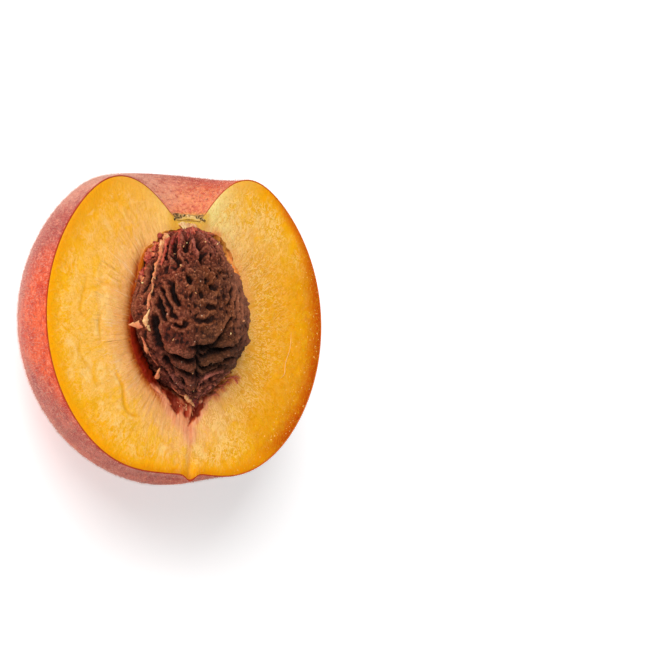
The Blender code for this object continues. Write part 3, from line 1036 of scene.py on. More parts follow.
def stone_body(along_mm, turn):
    """The stone's smooth form in mm in its own axes, at places along it and turns about it: the
    width of a spindle, a keel that stands out where the turn passes either side, and a swollen
    facet under the left keel."""
    height = np.clip((along_mm - middle_mm) / half_mm, -1, 1)
    share = spindle_share(height, STONE_BLUNTNESS, STONE_LOW_BELLY)
    from_keel = np.arcsin(np.abs(np.sin(turn)))
    keel = STONE_KEEL / STONE_HALF_WIDTH * bell(from_keel, STONE_KEEL_ANGLE)
    swell = FACET_SWELL_MM * bell(np.mod(turn, 2 * math.pi) - FACET_TURN, FACET_SPREAD)
    swell = swell * eased(along_mm, -5.0, 6.0) * eased(along_mm, 20.3, 18.5)
    x = STONE_HALF_WIDTH / MM * share * np.cos(turn) * (1 + keel) + swell * np.cos(turn)
    z = STONE_HALF_THICKNESS / MM * share * np.sin(turn) + swell * np.sin(turn)
    return np.stack([x, along_mm + 0 * turn, z], axis=-1)


def in_the_fruit(places_mm):
    """Places in the stone's own axes, turned about its length and set in the hollow, in metres."""
    x, y, z = np.moveaxis(places_mm, -1, 0)
    cosine, sine = math.cos(STONE_TURN), math.sin(STONE_TURN)
    turned = np.stack([x * cosine + z * sine, y, z * cosine - x * sine], axis=-1)
    return turned * MM + np.array([STONE_CENTRE_X, 0, 0])


def surface_normals(rows):
    """Outward directions of a grid that closes on itself across its columns: the cross product of
    its two slopes, turned away from its long axis."""
    down = np.gradient(rows, axis=0)
    across = np.roll(rows, -1, axis=1) - np.roll(rows, 1, axis=1)
    normal = np.cross(down, across)
    normal /= np.maximum(np.linalg.norm(normal, axis=-1, keepdims=True), 1e-9)
    away = rows - rows.mean(axis=(0, 1))
    sign = np.sign((normal * away).sum(-1, keepdims=True))
    return normal * np.where(sign == 0, 1, sign)


def trough(depth, distance, reach, power):
    """This deep at distance 0 and half of it at the reach: a higher power has steeper walls."""
    return depth / (1 + (distance / reach) ** power)


def cell_noise(points, size, seed):
    """Distance to the nearest of a scatter of centres, one in each cube of a lattice, in cubes, and
    that centre's own number from 0 to 1."""
    grid = points / size
    cell = np.floor(grid).astype(int)
    drawn = np.random.default_rng(seed)
    order = drawn.permutation(256)
    centres = drawn.random((256, 3))
    numbers = drawn.random(256)
    best = np.full(grid.shape[:-1], np.inf)
    number = np.zeros_like(best)
    for step in itertools.product((-1, 0, 1), repeat=3):
        near_cell = cell + np.array(step)
        key = order[near_cell[..., 0] & 255]
        key = order[(key + near_cell[..., 1]) & 255]
        key = order[(key + near_cell[..., 2]) & 255]
        distance = np.linalg.norm(near_cell + centres[key] - grid, axis=-1)
        number = np.where(distance < best, numbers[key], number)
        best = np.minimum(best, distance)
    return best, number


# Furrows, each as its depth and width in mm, and where it runs: mm along, and degrees of turn,
# where 90 is the top and 180 the left keel.
FURROWS = (
    (1.0, 0.38, ((19.6, 176), (17.4, 172), (15.0, 169), (13.0, 167))),
    (1.6, 0.55, ((19.2, 160), (17.4, 162), (15.8, 159), (14.2, 155), (12.6, 151), (10.8, 153))),
    (2.1, 0.58, ((20.0, 138), (18.0, 138), (16.4, 139), (14.6, 141))),
    (2.3, 0.58, ((20.0, 121), (17.8, 118), (16.0, 115), (14.4, 113), (12.8, 113))),
    (1.6, 0.46, ((19.6, 100), (17.8, 97), (16.0, 94), (14.4, 92))),
    (1.6, 0.46, ((18.8, 88), (17.0, 87), (15.0, 84), (13.0, 81))),
    (1.4, 0.46, ((18.0, 74), (16.2, 74), (14.2, 73), (12.4, 72))),
    (1.4, 0.46, ((17.8, 66), (15.0, 67), (12.4, 67), (10.6, 66))),
    (1.3, 0.55, ((14.0, 48), (11.0, 54), (8.2, 58), (4.6, 58))),
    (1.1, 0.55, ((13.4, 32), (8.6, 40), (3.4, 42), (-1.0, 40))),
    (2.3, 0.60, ((9.6, 155), (8.2, 154), (6.7, 152), (5.4, 149), (4.3, 145), (3.4, 141))),
    (1.7, 0.44, ((8.0, 166), (7.2, 163), (5.6, 159), (4.0, 155), (2.0, 150), (0.6, 144))),
    (2.1, 0.62, ((5.8, 166), (4.2, 164), (2.8, 161), (1.4, 160), (0.2, 157))),
    (1.2, 0.42, ((0.4, 152), (-0.5, 146), (-0.6, 140), (0.4, 134))),
    (2.3, 0.70, ((2.2, 168), (0.6, 168), (-0.8, 169), (-2.5, 169), (-4.4, 168), (-6.2, 166))),
    (2.1, 0.55, ((-6.0, 166), (-8.0, 165), (-10.0, 162), (-11.6, 157), (-13.2, 149), (-14.6, 141))),
    (1.0, 0.45, ((8.6, 76), (5.6, 82), (3.6, 86))),
    (1.2, 0.45, ((6.6, 66), (3.2, 72), (0.8, 72))),
    (1.2, 0.55, ((4.0, 116), (3.2, 110), (3.0, 104))),
    (1.0, 0.45, ((1.4, 128), (0.4, 122), (0.8, 113), (2.0, 108))),
    (1.7, 0.50, ((13.8, 180), (11.6, 178), (9.4, 178), (7.4, 180), (5.6, 183))),
    (1.3, 0.50, ((15.4, 203), (11.0, 190), (7.0, 189), (2.0, 190), (-2.6, 189))),
    (1.2, 0.55, ((15.0, 212), (11.0, 203), (6.0, 200), (0.0, 199), (-5.0, 196))),
    (1.2, 0.60, ((13.0, 222), (8.0, 214), (3.0, 212), (-3.0, 208))),
    (1.0, 0.35, ((-11.8, 164), (-13.4, 158), (-15.4, 148))),
    (1.0, 0.38, ((-8.4, 175), (-11.2, 172), (-13.8, 165), (-15.6, 155))),
    (1.0, 0.35, ((-11.4, 119), (-13.2, 121), (-15.2, 126))),
    (0.9, 0.35, ((-10.8, 104), (-12.8, 108), (-15.2, 116))),
    (0.9, 0.35, ((-10.4, 88), (-12.6, 93), (-15.0, 104))),
    (0.9, 0.35, ((-9.4, 70), (-12.0, 78), (-14.6, 92))),
)
# Pits: depth, width across, length along, mm along, degrees of turn.
PITS = (
    (2.1, 0.80, 1.43, 13.6, 115),
    (1.5, 0.46, 0.80, 14.5, 102),
    (1.2, 0.29, 0.59, 13.0, 138),
    (2.4, 0.50, 0.97, 9.3, 133),
    (1.4, 0.38, 0.50, 9.9, 97),
    (1.4, 0.42, 0.71, 8.9, 113),
    (1.7, 0.71, 0.67, 7.6, 106),
    (0.9, 0.29, 0.29, 11.0, 126),
    (1.1, 0.34, 0.46, 11.5, 107),
    (1.3, 0.38, 1.01, 11.6, 163),
    (1.2, 0.38, 0.50, 12.5, 88),
    (1.1, 0.34, 0.50, 5.9, 131),
    (1.4, 0.42, 0.92, 5.2, 84),
    (1.2, 0.38, 0.67, 10.6, 76),
    (1.2, 0.42, 0.50, 6.0, 120),
    (1.0, 0.34, 0.34, 2.6, 133),
    (1.2, 0.38, 0.46, 2.0, 92),
    (1.1, 0.38, 0.38, 3.6, 126),
)
# Ledges: grooves with a lip that hangs over them from above; depth, width and lip in mm.
LEDGES = (
    (3.0, 0.95, 1.6, ((-4.6, 166), (-5.6, 160), (-6.3, 152), (-6.8, 145), (-7.2, 137), (-7.6, 129))),
    (3.0, 0.85, 1.6, ((-7.6, 162), (-8.5, 155), (-9.2, 146), (-9.9, 137), (-10.6, 129))),
    (2.8, 0.75, 1.5, ((-9.8, 158), (-11.0, 150), (-12.4, 142), (-13.8, 135))),
    (3.2, 1.10, 1.0, ((-4.8, 124), (-4.6, 117), (-4.1, 108), (-2.5, 101), (-0.4, 95), (1.2, 89))),
    (2.6, 0.80, 0.9, ((-6.9, 124), (-6.6, 117), (-5.8, 106), (-5.2, 94), (-4.2, 80), (-3.0, 70))),
    (2.6, 0.90, 0.9, ((-9.4, 122), (-8.9, 112), (-7.9, 100), (-7.3, 86), (-6.8, 74))),
    (1.6, 0.50, 0.5, ((-11.0, 118), (-10.4, 106), (-9.4, 92), (-8.6, 78))),
)
# The cleft that splits the ledges: mm along, degrees of turn.
CLEFT = ((-4.6, 126), (-6.2, 123.5), (-7.6, 126), (-8.8, 123), (-10.0, 126), (-11.6, 122), (-13.0, 125))
CLEFT_DEPTH_MM = 2.1
# Folds: thin ridges that stand up at the top, beside the cleft and round the tip; height and width
# in mm, and how pink their crest is, a pink that is partly its own and partly painted highlight.
FOLDS = (
    (0.55, 0.30, 0.3, ((19.4, 150), (18.0, 149), (16.6, 148), (15.0, 148))),
    (0.60, 0.30, 0.7, ((20.1, 134), (18.4, 131), (16.8, 127), (15.3, 124), (13.8, 120))),
    (0.55, 0.28, 0.6, ((19.8, 110), (18.0, 107), (16.3, 105), (14.8, 101))),
    (0.50, 0.28, 0.5, ((18.6, 94), (17.0, 91), (15.4, 88), (13.8, 86))),
    (0.45, 0.28, 0.6, ((18.2, 81), (16.9, 80), (15.3, 77), (13.6, 76))),
    (0.55, 0.34, 0.0, ((-4.4, 130), (-5.8, 129), (-7.6, 128))),
    (0.50, 0.32, 0.0, ((-8.2, 131), (-9.4, 129.5), (-10.6, 129))),
    (0.45, 0.32, 0.0, ((-11.4, 136), (-12.6, 135), (-13.8, 134))),
    (0.55, 0.30, 1.0, ((-9.9, 74), (-10.4, 89), (-11.3, 106), (-13.2, 111), (-15.3, 98))),
    (0.50, 0.26, 1.0, ((-11.6, 62), (-13.0, 70), (-14.5, 66), (-15.6, 76))),
    (0.45, 0.24, 0.8, ((-12.4, 141), (-13.8, 139), (-15.2, 140))),
    (0.40, 0.24, 1.0, ((-10.4, 170), (-12.4, 162), (-14.2, 154), (-15.8, 146))),
    (0.40, 0.24, 1.0, ((-9.4, 60), (-11.0, 58), (-12.8, 52))),
)
# Knobs that stand out at the sides, and hollows with a height below zero: height, reach, mm
# along, degrees of turn.
KNOBS = (
    (0.7, 1.3, -3.2, 52),
    (0.4, 1.5, -8.8, 58),
    (0.3, 1.5, 3.6, 48),
    (0.5, 1.6, 9.6, 44),
    (0.6, 1.2, 18.6, 160),
    (0.5, 1.0, -7.6, 182),
    (0.6, 0.9, -10.6, 184),
    (1.4, 4.6, 2.6, 183),
    (-0.7, 4.0, -9.4, 181),
    (-1.0, 5.0, 14.0, 36),
)

even = np.linspace(0, math.pi, STONE_ROWS)
stone_polar = even - RINGS_CROWDING * np.sin(2 * even)
step = full_turn(STONE_COLUMNS)
stone_turn = step - STONE_CROWDING * np.sin(step - STONE_CROWD_TURN)
along_mm = (middle_mm + half_mm * np.cos(stone_polar))[:, None] * np.ones((1, STONE_COLUMNS))
turn = stone_turn[None, :] * np.ones_like(along_mm)
body = stone_body(along_mm, turn)
normals = surface_normals(body)
normals[0] = (0, 1, 0)
normals[-1] = (0, -1, 0)


def on_stone(corners):
    """Places on the smooth stone of (mm along, degrees of turn) pairs, joined smoothly."""
    pairs = smooth_path(corners, 6)
    return stone_body(pairs[:, 0], np.radians(pairs[:, 1]))


def stone_spot(along_at, turn_at):
    """One place on the smooth stone, by mm along and degrees of turn."""
    return stone_body(np.array([along_at]), np.radians([turn_at]))[0]


def thin_ends(share, steepness, least):
    """1 along a path but for its ends, where it falls steadily to the least."""
    return np.minimum(1, np.minimum(share, 1 - share) * steepness + least)


def softened(heights, passes):
    """A grid of heights, wrapped across its columns, each averaged with its neighbours again and
    again."""
    for _ in range(passes):
        heights = (np.roll(heights, 1, axis=1) + 2 * heights + np.roll(heights, -1, axis=1)) / 4
        padded = np.concatenate([heights[:1], heights, heights[-1:]])
        heights = (padded[:-2] + 2 * heights + padded[2:]) / 4
    return heights


wander = np.stack([soft_noise(body, 2.4, seed) for seed in (51, 52, 53)], axis=-1)
tremble = np.stack([soft_noise(body, 0.85, seed) for seed in (54, 55, 56)], axis=-1)
warped = body + 0.42 * wander + 0.26 * tremble
breadth = 1 + 0.45 * soft_noise(body, 2.2, 57)
carved = np.zeros_like(along_mm)
raised = np.zeros_like(along_mm)
for depth, width, corners in FURROWS:
    distance, share, _ = nearest_on_path(warped, on_stone(corners))
    taper = thin_ends(share, 5, 0.10)
    reach = width * breadth * (0.4 + 0.6 * taper)
    carved = np.maximum(carved, trough(depth * taper, distance, reach, 3.4))
    shoulder = bell(distance - 2.0 * width, 0.8 * width)
    raised = np.maximum(raised, 0.40 * depth * taper * shoulder)
for depth, width, length, along_at, turn_at in PITS:
    stretched = (warped - stone_spot(along_at, turn_at)) * np.array([1 / width, 1 / length, 1 / width])
    carved = np.maximum(carved, trough(depth, (stretched**2).sum(-1), 1.0, 2.6))
calmer = body + 0.30 * wander + 0.10 * tremble
for depth, width, lip_mm, corners in LEDGES:
    distance, share, offset = nearest_on_path(calmer, on_stone(corners))
    above = np.sign(offset[..., 1] + 1e-9) * distance
    taper = thin_ends(share, 4, 0.35)
    reach = width * breadth * (1.2 - 0.6 * share if corners[0][1] < 130 else 0.7 + 0.45 * share)
    from_middle = above + 0.45 * width
    reach = reach * np.where(from_middle > 0, 0.50, 1.00)
    groove = trough(1, np.abs(from_middle), reach, np.where(from_middle > 0, 4.0, 2.4))
    hanging = bell(above - width, 1.6 * width) * eased(above, -0.1 * width, 0.3 * width)
    carved = np.maximum(carved, depth * taper * groove)
    raised = np.maximum(raised, lip_mm * taper * hanging)
distance, share, offset = nearest_on_path(calmer, on_stone(CLEFT))
reach = np.where(offset[..., 0] > 0, 0.75, 0.22)
cleft = CLEFT_DEPTH_MM * eased(share, -0.05, 0.08) * eased(share, 1.02, 0.8)
carved = np.maximum(carved, trough(cleft, distance, reach, 3.0))
fold = np.zeros_like(along_mm)
for height, width, pinkness, corners in FOLDS:
    distance, share, _ = nearest_on_path(body + 0.25 * tremble, on_stone(corners))
    crest = bell(distance, width) * tapered(share, 0.06, 0.4)
    fold = np.maximum(fold, crest * pinkness)
    raised = np.maximum(raised, height * crest)
knobs = np.zeros_like(along_mm)
for height, reach, along_at, turn_at in KNOBS:
    gap = np.linalg.norm(warped - stone_spot(along_at, turn_at), axis=-1)
    knobs = knobs + height * bell(gap, reach, 2.4)

# Everywhere: crumpled lumps with creases between them, small pits, and a woody roughness.
grained = warped * np.array([1.0, 0.62, 1.0])
lumps = layered_noise(body, 4.6, 61, 2)
lower = eased(-along_mm, 0.0, 5.0)
quiet = 1 - np.clip(carved / 0.8, 0, 1)
fluted = eased(along_mm, 12.0, 15.5)
pit_gap, pit_number = cell_noise(grained, 1.45, 71)
small_pits = trough(eased(pit_number, 0.45, 0.95), pit_gap, 0.30, 4)
wide_creases = np.clip(np.abs(soft_noise(grained, 1.9, 81)) / 0.55, 0, 1) ** 0.6
fine_creases = np.clip(np.abs(soft_noise(grained + 0.2 * tremble, 0.85, 85)) / 0.55, 0, 1) ** 0.7
crumbs = layered_noise(body + 0.3 * tremble, 1.10, 91, 3)
grit = layered_noise(body + 0.2 * tremble, 0.50, 95, 2)
ridges = 1 - np.abs(layered_noise(warped + 0.5 * tremble, 2.1, 97, 2))
petals = eased(-along_mm, 1.5, 4.0) * eased(-along_mm, 15.0, 13.0)
petals = petals * eased(turn, 2.1, 2.35) * eased(turn, 3.05, 2.9)
relief = (
    0.50 * lumps
    - 0.85 * small_pits * quiet * (1 - 0.35 * lower) * (1 - 0.8 * fluted)
    + 0.34 * (wide_creases - 0.75) * (0.45 + 0.55 * quiet) * (1 - 0.75 * fluted) * (1 - 0.7 * petals)
    + 0.40 * (ridges - 0.65) * quiet * (1 - 0.6 * fluted) * (1 - 0.7 * petals)
    + 0.24 * (fine_creases - 0.70) * (1 - 0.6 * fluted) * (1 - 0.5 * petals)
    + 0.28 * crumbs * (1 - 0.5 * petals)
    + 0.17 * grit
    - carved
    + raised
    + knobs
)
ends = eased(np.sin(stone_polar), 0.02, 0.30)[:, None]
relief = relief * (0.25 + 0.75 * ends) - STONE_SINK_MM
stone_mm_rows = body + normals * relief[..., None]
stone_mm_rows[0] = stone_mm_rows[0].mean(0)
stone_mm_rows[-1] = stone_mm_rows[-1].mean(0)
stone_rows = in_the_fruit(stone_mm_rows)
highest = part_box("stone")[1].z - set_down[2]
stone_rows[..., 2] = np.minimum(stone_rows[..., 2], highest - BELOW_TOP_MM * MM)
to_left = eased(np.cos(turn), -0.45, -0.98)
to_tip = eased(-along_mm, 9.0, 12.5) * eased(np.cos(turn), -0.5, 0.4)
crimson = np.clip(eased(along_mm, 9, 18) * 0.85 + to_left * 0.60 + to_tip * 0.7, 0, 1)
standing_out = relief - 0.6 * softened(relief, 5) - 0.4 * softened(relief, 30)
stone = grid_object(
    "peach_stone",
    stone_rows,
    {
        # Painted shade: darker colour the deeper the furrows, ledges, cleft and pits are carved.
        "painted_hollow_shade": np.clip((carved + 0.7 * small_pits * quiet) / 1.6 - 0.22, 0, 1),
        "stands_out": np.clip(0.5 + standing_out / 0.8, 0, 1),
        "crimson": crimson,
        "along": along_mm,
        "fold": fold,
    },
)
woody = Finish("woody_stone")
place = woody.place()
patch = woody.noise(place, 260.0, 4.0, 0.6, 0.5)
fleck = woody.noise(place, 2300.0, 2.0, 0.6, 0.3)
crumb = woody.noise(place, 1000.0, 5.0, 0.75, 0.4)
tinge = woody.noise(place, 420.0, 3.0, 0.55)
proud = woody.measure("stands_out")
reddish = woody.measure("crimson")
along = woody.measure("along")
# Low on the stone the colour is darker: partly its own olive brown, partly painted shade of its ledges.
low = along.eased(2.0, -6.0) * along.eased(-15.0, -10.5)
near_tip = along.eased(-9.8, -11.6) * patch.eased(0.25, 0.45)
red_share = (reddish * (patch * 1.6 - 0.1)).held()
light_flecks = fleck.eased(0.56, 0.69) * proud.eased(0.35, 0.6)
# Pink on the raised crimson edges: painted highlight.
tip_edges = reddish * proud.eased(0.54, 0.74) * fleck.eased(0.40, 0.60)
# The stone's right side is painted lighter: painted light where the lamps leave it dim.
painted_light_right = woody.axis(place, "X").eased(0.001, 0.007)
# Painted glints: a few small pale spots on raised places that stand for highlights.
glint = woody.noise(place, 1300.0, 1.0).eased(0.745, 0.785) * proud.eased(0.45, 0.60)
colour = woody.layered(
    woody.mix(patch.eased(0.35, 0.65), shade(84, 37, 14), shade(114, 55, 24)),
    (low * patch.eased(0.1, 0.4) * 0.95, shade(50, 22, 5)),
    (tinge.eased(0.50, 0.60) * (1.0 - low * 0.7) * 0.45, shade(112, 60, 44)),
    (tinge.eased(0.49, 0.40) * low * 0.50, shade(70, 38, 9)),
    (red_share * 0.85, shade(138, 48, 36)),
    (near_tip * 0.5, shade(104, 46, 40)),
    # Painted highlight on what stands out of the relief.
    (proud.eased(0.56, 0.90) * (1.0 - low * 0.65) * 0.65, shade(156, 90, 54)),
    (light_flecks * (0.58 - low * 0.33), shade(206, 134, 96)),
    (fleck.eased(0.47, 0.35) * 0.55, shade(40, 16, 8)),
    (tip_edges * 0.6, shade(186, 96, 78)),
    (painted_light_right * (1.0 - low * 0.6) * 0.65, shade(164, 100, 74)),
    (woody.measure("fold") * fleck.eased(0.30, 0.50) * 0.85, shade(206, 116, 98)),
    (glint * 0.85, shade(246, 204, 170)),
    # Painted shade in the low spots of the relief.
    (proud.eased(0.49, 0.22) * 0.84, shade(32, 11, 6)),
    # Painted shade deep in the carved hollows.
    (woody.measure("painted_hollow_shade") * 0.80, shade(20, 7, 4)),
)
woody.put_on(
    stone,
    {
        "Base Color": colour,
        "Roughness": 0.30 + crumb * 0.35,
        "Normal": woody.bump(1.0, 0.0009, crumb * 0.75 + fleck * 0.45),
        "Specular IOR Level": 0.20,
    },
)
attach(stone, "root")
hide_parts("stone")


# ---------------------------------------------------------------------------------------
# The stalk scar: the dry disc at the bottom of the cavity, where the fruit hung from its
# twig, cut through with the fruit. Its rim is dark and crumbly, its cut side pale and woody.
# ---------------------------------------------------------------------------------------
SCAR_FOOT_RADIUS_MM = 2.85
SCAR_BULGE_MM = 0.45
SCAR_FOOT_MM = 22.22
SCAR_HEIGHT_MM = 1.00
SCAR_DISH_MM = 0.04
SCAR_COLUMNS = 180
SCAR_ROWS = 44
SCAR_TOP_ROWS = 25
SCAR_BASE_ROWS = 5

# A half disc as a closed outline: round behind, and straight along the cut.
scar_turn = full_turn(SCAR_COLUMNS)
half_circle = np.stack(
    [np.cos(scar_turn), np.zeros_like(scar_turn), -np.maximum(np.sin(scar_turn), 0)], axis=-1
)


def half_discs(radii_mm, heights_mm):
    """A row of places round a half disc for each radius and height."""
    rows = half_circle[None] * radii_mm[:, None, None]
    rows[..., 1] = heights_mm[:, None]
    return rows


rise = np.linspace(0, 1, SCAR_ROWS)
radius_mm = SCAR_FOOT_RADIUS_MM + SCAR_BULGE_MM * np.sin(rise * math.pi * 0.75)
profile_y = SCAR_FOOT_MM + SCAR_HEIGHT_MM * rise
side_rows = half_discs(radius_mm, profile_y)
top_share = np.linspace(1, 0, SCAR_TOP_ROWS + 1)[1:]
dish = SCAR_DISH_MM * eased(1 - top_share, 0.10, 0.7)
top_rows = half_discs(radius_mm[-1] * top_share, profile_y[-1] - dish)
base_share = np.linspace(0, 1, SCAR_BASE_ROWS + 1)[:-1]
base_rows = half_discs(radius_mm[0] * base_share, profile_y[0] + 0 * base_share)
scar_mm = np.concatenate([base_rows, side_rows, top_rows])
from_axis = np.hypot(scar_mm[..., 0], scar_mm[..., 2])
on_rim = eased(from_axis, 1.9, 2.6) * eased(scar_mm[..., 1], 22.5, 22.95)
clumps = 0.4 + 0.6 * eased(np.abs(scar_mm[..., 0]), 1.2, 2.6)
crumble = layered_noise(scar_mm, 0.75, 101, 3)
scar_mm[..., 1] += (0.50 * crumble * clumps + 0.08) * on_rim
flared = 0.3 * np.sign(scar_mm[..., 0]) * clumps
scar_mm[..., 0] += (0.30 * soft_noise(scar_mm + 9, 0.7, 103) + flared) * on_rim
scar_mm[..., 2] += 0.25 * soft_noise(scar_mm + 5, 0.6, 104) * on_rim
scar_mm[..., 2] = np.minimum(scar_mm[..., 2], 0.0) - 0.08
# The cut through its woody foot is an arch, lower at both ends.
scar_mm[..., 1] -= 0.085 * scar_mm[..., 0] ** 2 * eased(scar_mm[..., 1], 23.0, 22.3)
scar_mm[..., 1] = np.clip(scar_mm[..., 1], 21.4, 23.38)
for row in (0, -1):
    scar_mm[row] = scar_mm[row].mean(0)
scar = grid_object("stalk_scar_disc", scar_mm * MM, {"rim": on_rim, "ends": on_rim * clumps})
corky = Finish("corky_scar")
place = corky.place()
grit = corky.noise(place, 1500.0, 4.0, 0.7, 0.4)
streak = corky.noise(corky.stretched(place, 1.0, 4.0), 500.0, 3.0, 0.6, 0.5)
outwards = corky.axis(place, "X") - float(set_down[0])
upwards = corky.axis(place, "Y") - float(set_down[1])
arc_mm = ((upwards - SCAR_FOOT_Y) * 1000.0 + outwards * outwards * 85000.0).shaken(grit, 0.4)
colour = corky.layered(
    corky.mix(streak.eased(0.4, 0.6), shade(250, 214, 140), shade(232, 188, 104)),
    (arc_mm.eased(0.30, 0.12), shade(214, 164, 52)),
    (arc_mm.eased(0.75, 1.05), shade(196, 146, 84)),
    (corky.measure("rim"), corky.mix(grit.eased(0.38, 0.62), shade(176, 128, 74), shade(236, 196, 130))),
    (
        (corky.measure("ends") - 0.55).eased(0.0, 0.4),
        corky.mix(grit.eased(0.40, 0.66), shade(70, 50, 28), shade(186, 144, 92)),
    ),
)
corky.put_on(
    scar,
    {
        "Base Color": colour,
        "Roughness": 0.85,
        "Normal": corky.bump(0.6, 0.0003, grit),
        "Specular IOR Level": 0.2,
    },
)
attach(scar, "root")
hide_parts("stalk_scar")

# Crumbs of dark bark along the scar's rim, thick at both ends: each a lumpy ball, closed at both
# poles. Each stretch of the rim is where it starts and ends in mm and how many crumbs it has.
CRUMB_STRETCHES = ((-3.9, -1.0, 52), (-1.0, 2.8, 32), (2.8, 4.2, 36))
BALL_ROWS = 9
BALL_COLUMNS = 12

drawn = np.random.default_rng(161)
crumb_x = np.concatenate([drawn.uniform(*stretch) for stretch in CRUMB_STRETCHES])
crumb_y = 23.16 - 0.055 * crumb_x**2 - 0.42 * drawn.uniform(0, 1, len(crumb_x)) ** 1.5
crumb_z = drawn.uniform(-0.35, 0.02, len(crumb_x))
crumb_size = drawn.uniform(0.08, 0.24, len(crumb_x)) * np.where(np.abs(crumb_x - 0.6) < 1.8, 0.8, 1.0)
ball_polar = np.linspace(0, math.pi, BALL_ROWS)[:, None]
ball_turn = full_turn(BALL_COLUMNS)[None]
ball = np.stack(
    [
        np.sin(ball_polar) * np.cos(ball_turn),
        np.sin(ball_polar) * np.sin(ball_turn),
        np.cos(ball_polar) + 0 * ball_turn,
    ],
    axis=-1,
)
crumb_at = np.stack([crumb_x, crumb_y, crumb_z], axis=-1)[:, None, None]
balls = ball[None] * crumb_size[:, None, None, None]
lumpy = 1 + 0.7 * layered_noise(crumb_at + balls, 0.25, 163, 2)
pale_share = 0.62 * bell(crumb_x + 0.2, 0.7, 4)
crumb_tone = drawn.random(len(crumb_x)) * (1 - pale_share) + pale_share
bark_crumbs = grid_object(
    "bark_crumbs",
    (crumb_at + balls * lumpy[..., None]) * MM,
    {"tone": crumb_tone[:, None, None] * np.ones_like(lumpy)},
)
crumbly = Finish("crumbly_bark")
bark_shades = (
    (0.0, shade(48, 36, 20)),
    (0.45, shade(96, 76, 40)),
    (0.75, shade(158, 122, 72)),
    (1.0, shade(236, 200, 150)),
)
colour = crumbly.ramp(crumbly.measure("tone"), bark_shades)
crumbly.put_on(bark_crumbs, {"Base Color": colour, "Roughness": 0.85, "Specular IOR Level": 0.2})
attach(bark_crumbs, "root")


# ---------------------------------------------------------------------------------------
# The shreds: flesh that tore when the halves came apart. A lumpy strand clings to the keel,
# beads and a spike of flesh stay at the stone's left edge, and fibres run in at both ends.
# ---------------------------------------------------------------------------------------
STRAND_STEPS = 30
STRAND_SIDES = 10
BEADS = 125
TOP_FIBRES = 30
TUFT_FIBRES = 16
TIP_FIBRES = 9
CAUGHT_CRUMBS = 48

shreds = []
tones = []


def add_shred(tone, corners, widths, flatness, lumpiness, lump_mm, seed):
    """Keeps one closed strand in mm: rings carried along a smooth path through the corners, as
    wide as the widths say, flattened across the view and made lumpy by noise. Both ends close in
    a point. Its tone is 0 for pale cream, 0.5 for coral and 1 for dark red."""
    route = smooth_path(corners, 12)
    share = np.linspace(0, 1, STRAND_STEPS)
    source = np.linspace(0, 1, len(route))
    path = np.stack([np.interp(share, source, route[:, axis]) for axis in range(3)], axis=-1)
    heading = unit(np.gradient(path, axis=0))
    beside = unit(np.cross(heading, (0.05, 0.08, 1.0)))
    over = np.cross(beside, heading)
    turn = full_turn(STRAND_SIDES)[None, :, None]
    ring = np.cos(turn) * beside[:, None] + flatness * np.sin(turn) * over[:, None]
    width = np.interp(share, np.linspace(0, 1, len(widths)), widths)
    width = width * np.sqrt(np.clip(np.sin(share * math.pi) * 8, 0, 1))
    ring = ring * width[:, None, None]
    rough = 1 + lumpiness * layered_noise(path[:, None] + ring, lump_mm, seed, 2)
    shreds.append(path[:, None] + ring * rough[..., None])
    tones.append(np.full(rough.shape, tone))


smooth_relief = softened(relief, 10)


def off_the_stone(corners, lift):
    """Places in the fruit in mm of (mm along, degrees of turn) pairs: this far out from the stone's
    own surface, with its smallest lumps smoothed away."""
    pairs = np.array(corners, float)
    row = np.abs(along_mm[:, 0] - pairs[:, :1]).argmin(axis=1)
    gap = np.mod(stone_turn - np.radians(pairs[:, 1:]) + math.pi, 2 * math.pi) - math.pi
    column = np.abs(gap).argmin(axis=1)
    places = stone_body(pairs[:, 0], np.radians(pairs[:, 1]))
    outwards = normals[row, column]
    return in_the_fruit(places + outwards * (smooth_relief[row, column][:, None] + lift)) / MM


# Strands on the left keel and round the tip: tone, lift and widths in mm; mm along and degrees.
KEEL_STRANDS = (
    (
        (0.24, 0.20, 0.45, 0.74, 0.56, 0.55, 0.50, 0.35),
        ((18.7, 181), (18.1, 180), (17.1, 179), (16.0, 178), (14.8, 176)),
    ),
    (
        (0.32, 0.20, 0.30, 0.48, 0.42, 0.55, 0.42, 0.30),
        ((16.0, 176), (14.6, 174), (13.0, 174), (11.6, 174), (10.2, 174), (9.0, 174)),
    ),
    ((0.30, 0.20, 0.25, 0.36, 0.26, 0.28), ((10.0, 174), (8.6, 174), (7.2, 173), (5.8, 174))),
    (
        (0.60, 0.16, 0.30, 0.46, 0.30, 0.34, 0.12),
        ((18.6, 176), (17.0, 174), (15.4, 171.5), (13.4, 170), (11.8, 169.5)),
    ),
    ((0.80, 0.10, 0.26, 0.38, 0.30, 0.16), ((19.3, 168), (18.0, 167), (16.4, 165.5), (14.8, 163))),
    ((0.76, 0.10, 0.24, 0.30, 0.26, 0.14), ((19.3, 156), (18.6, 155), (17.2, 153), (15.8, 150))),
    ((0.32, 0.16, 0.20, 0.34, 0.38, 0.34, 0.18), ((6.2, 174), (5.0, 174), (3.9, 174), (2.6, 174))),
    (
        (0.44, 0.10, 0.10, 0.26, 0.22, 0.14, 0.20, 0.08),
        ((-1.8, 184), (-3.6, 185), (-5.4, 186), (-7.3, 185), (-9.2, 186)),
    ),
    ((0.40, 0.10, 0.10, 0.18, 0.20, 0.16), ((-12.8, 180), (-14.2, 178), (-15.4, 172), (-16.1, 158))),
    ((0.26, 0.12, 0.26, 0.38, 0.34, 0.16), ((-15.8, 156), (-16.2, 130), (-16.3, 100), (-15.9, 66))),
)
for number, ((tone, lift, *widths), corners) in enumerate(KEEL_STRANDS):
    add_shred(tone, off_the_stone(corners, lift), widths, 0.55, 1.1, 0.7, 201 + number)
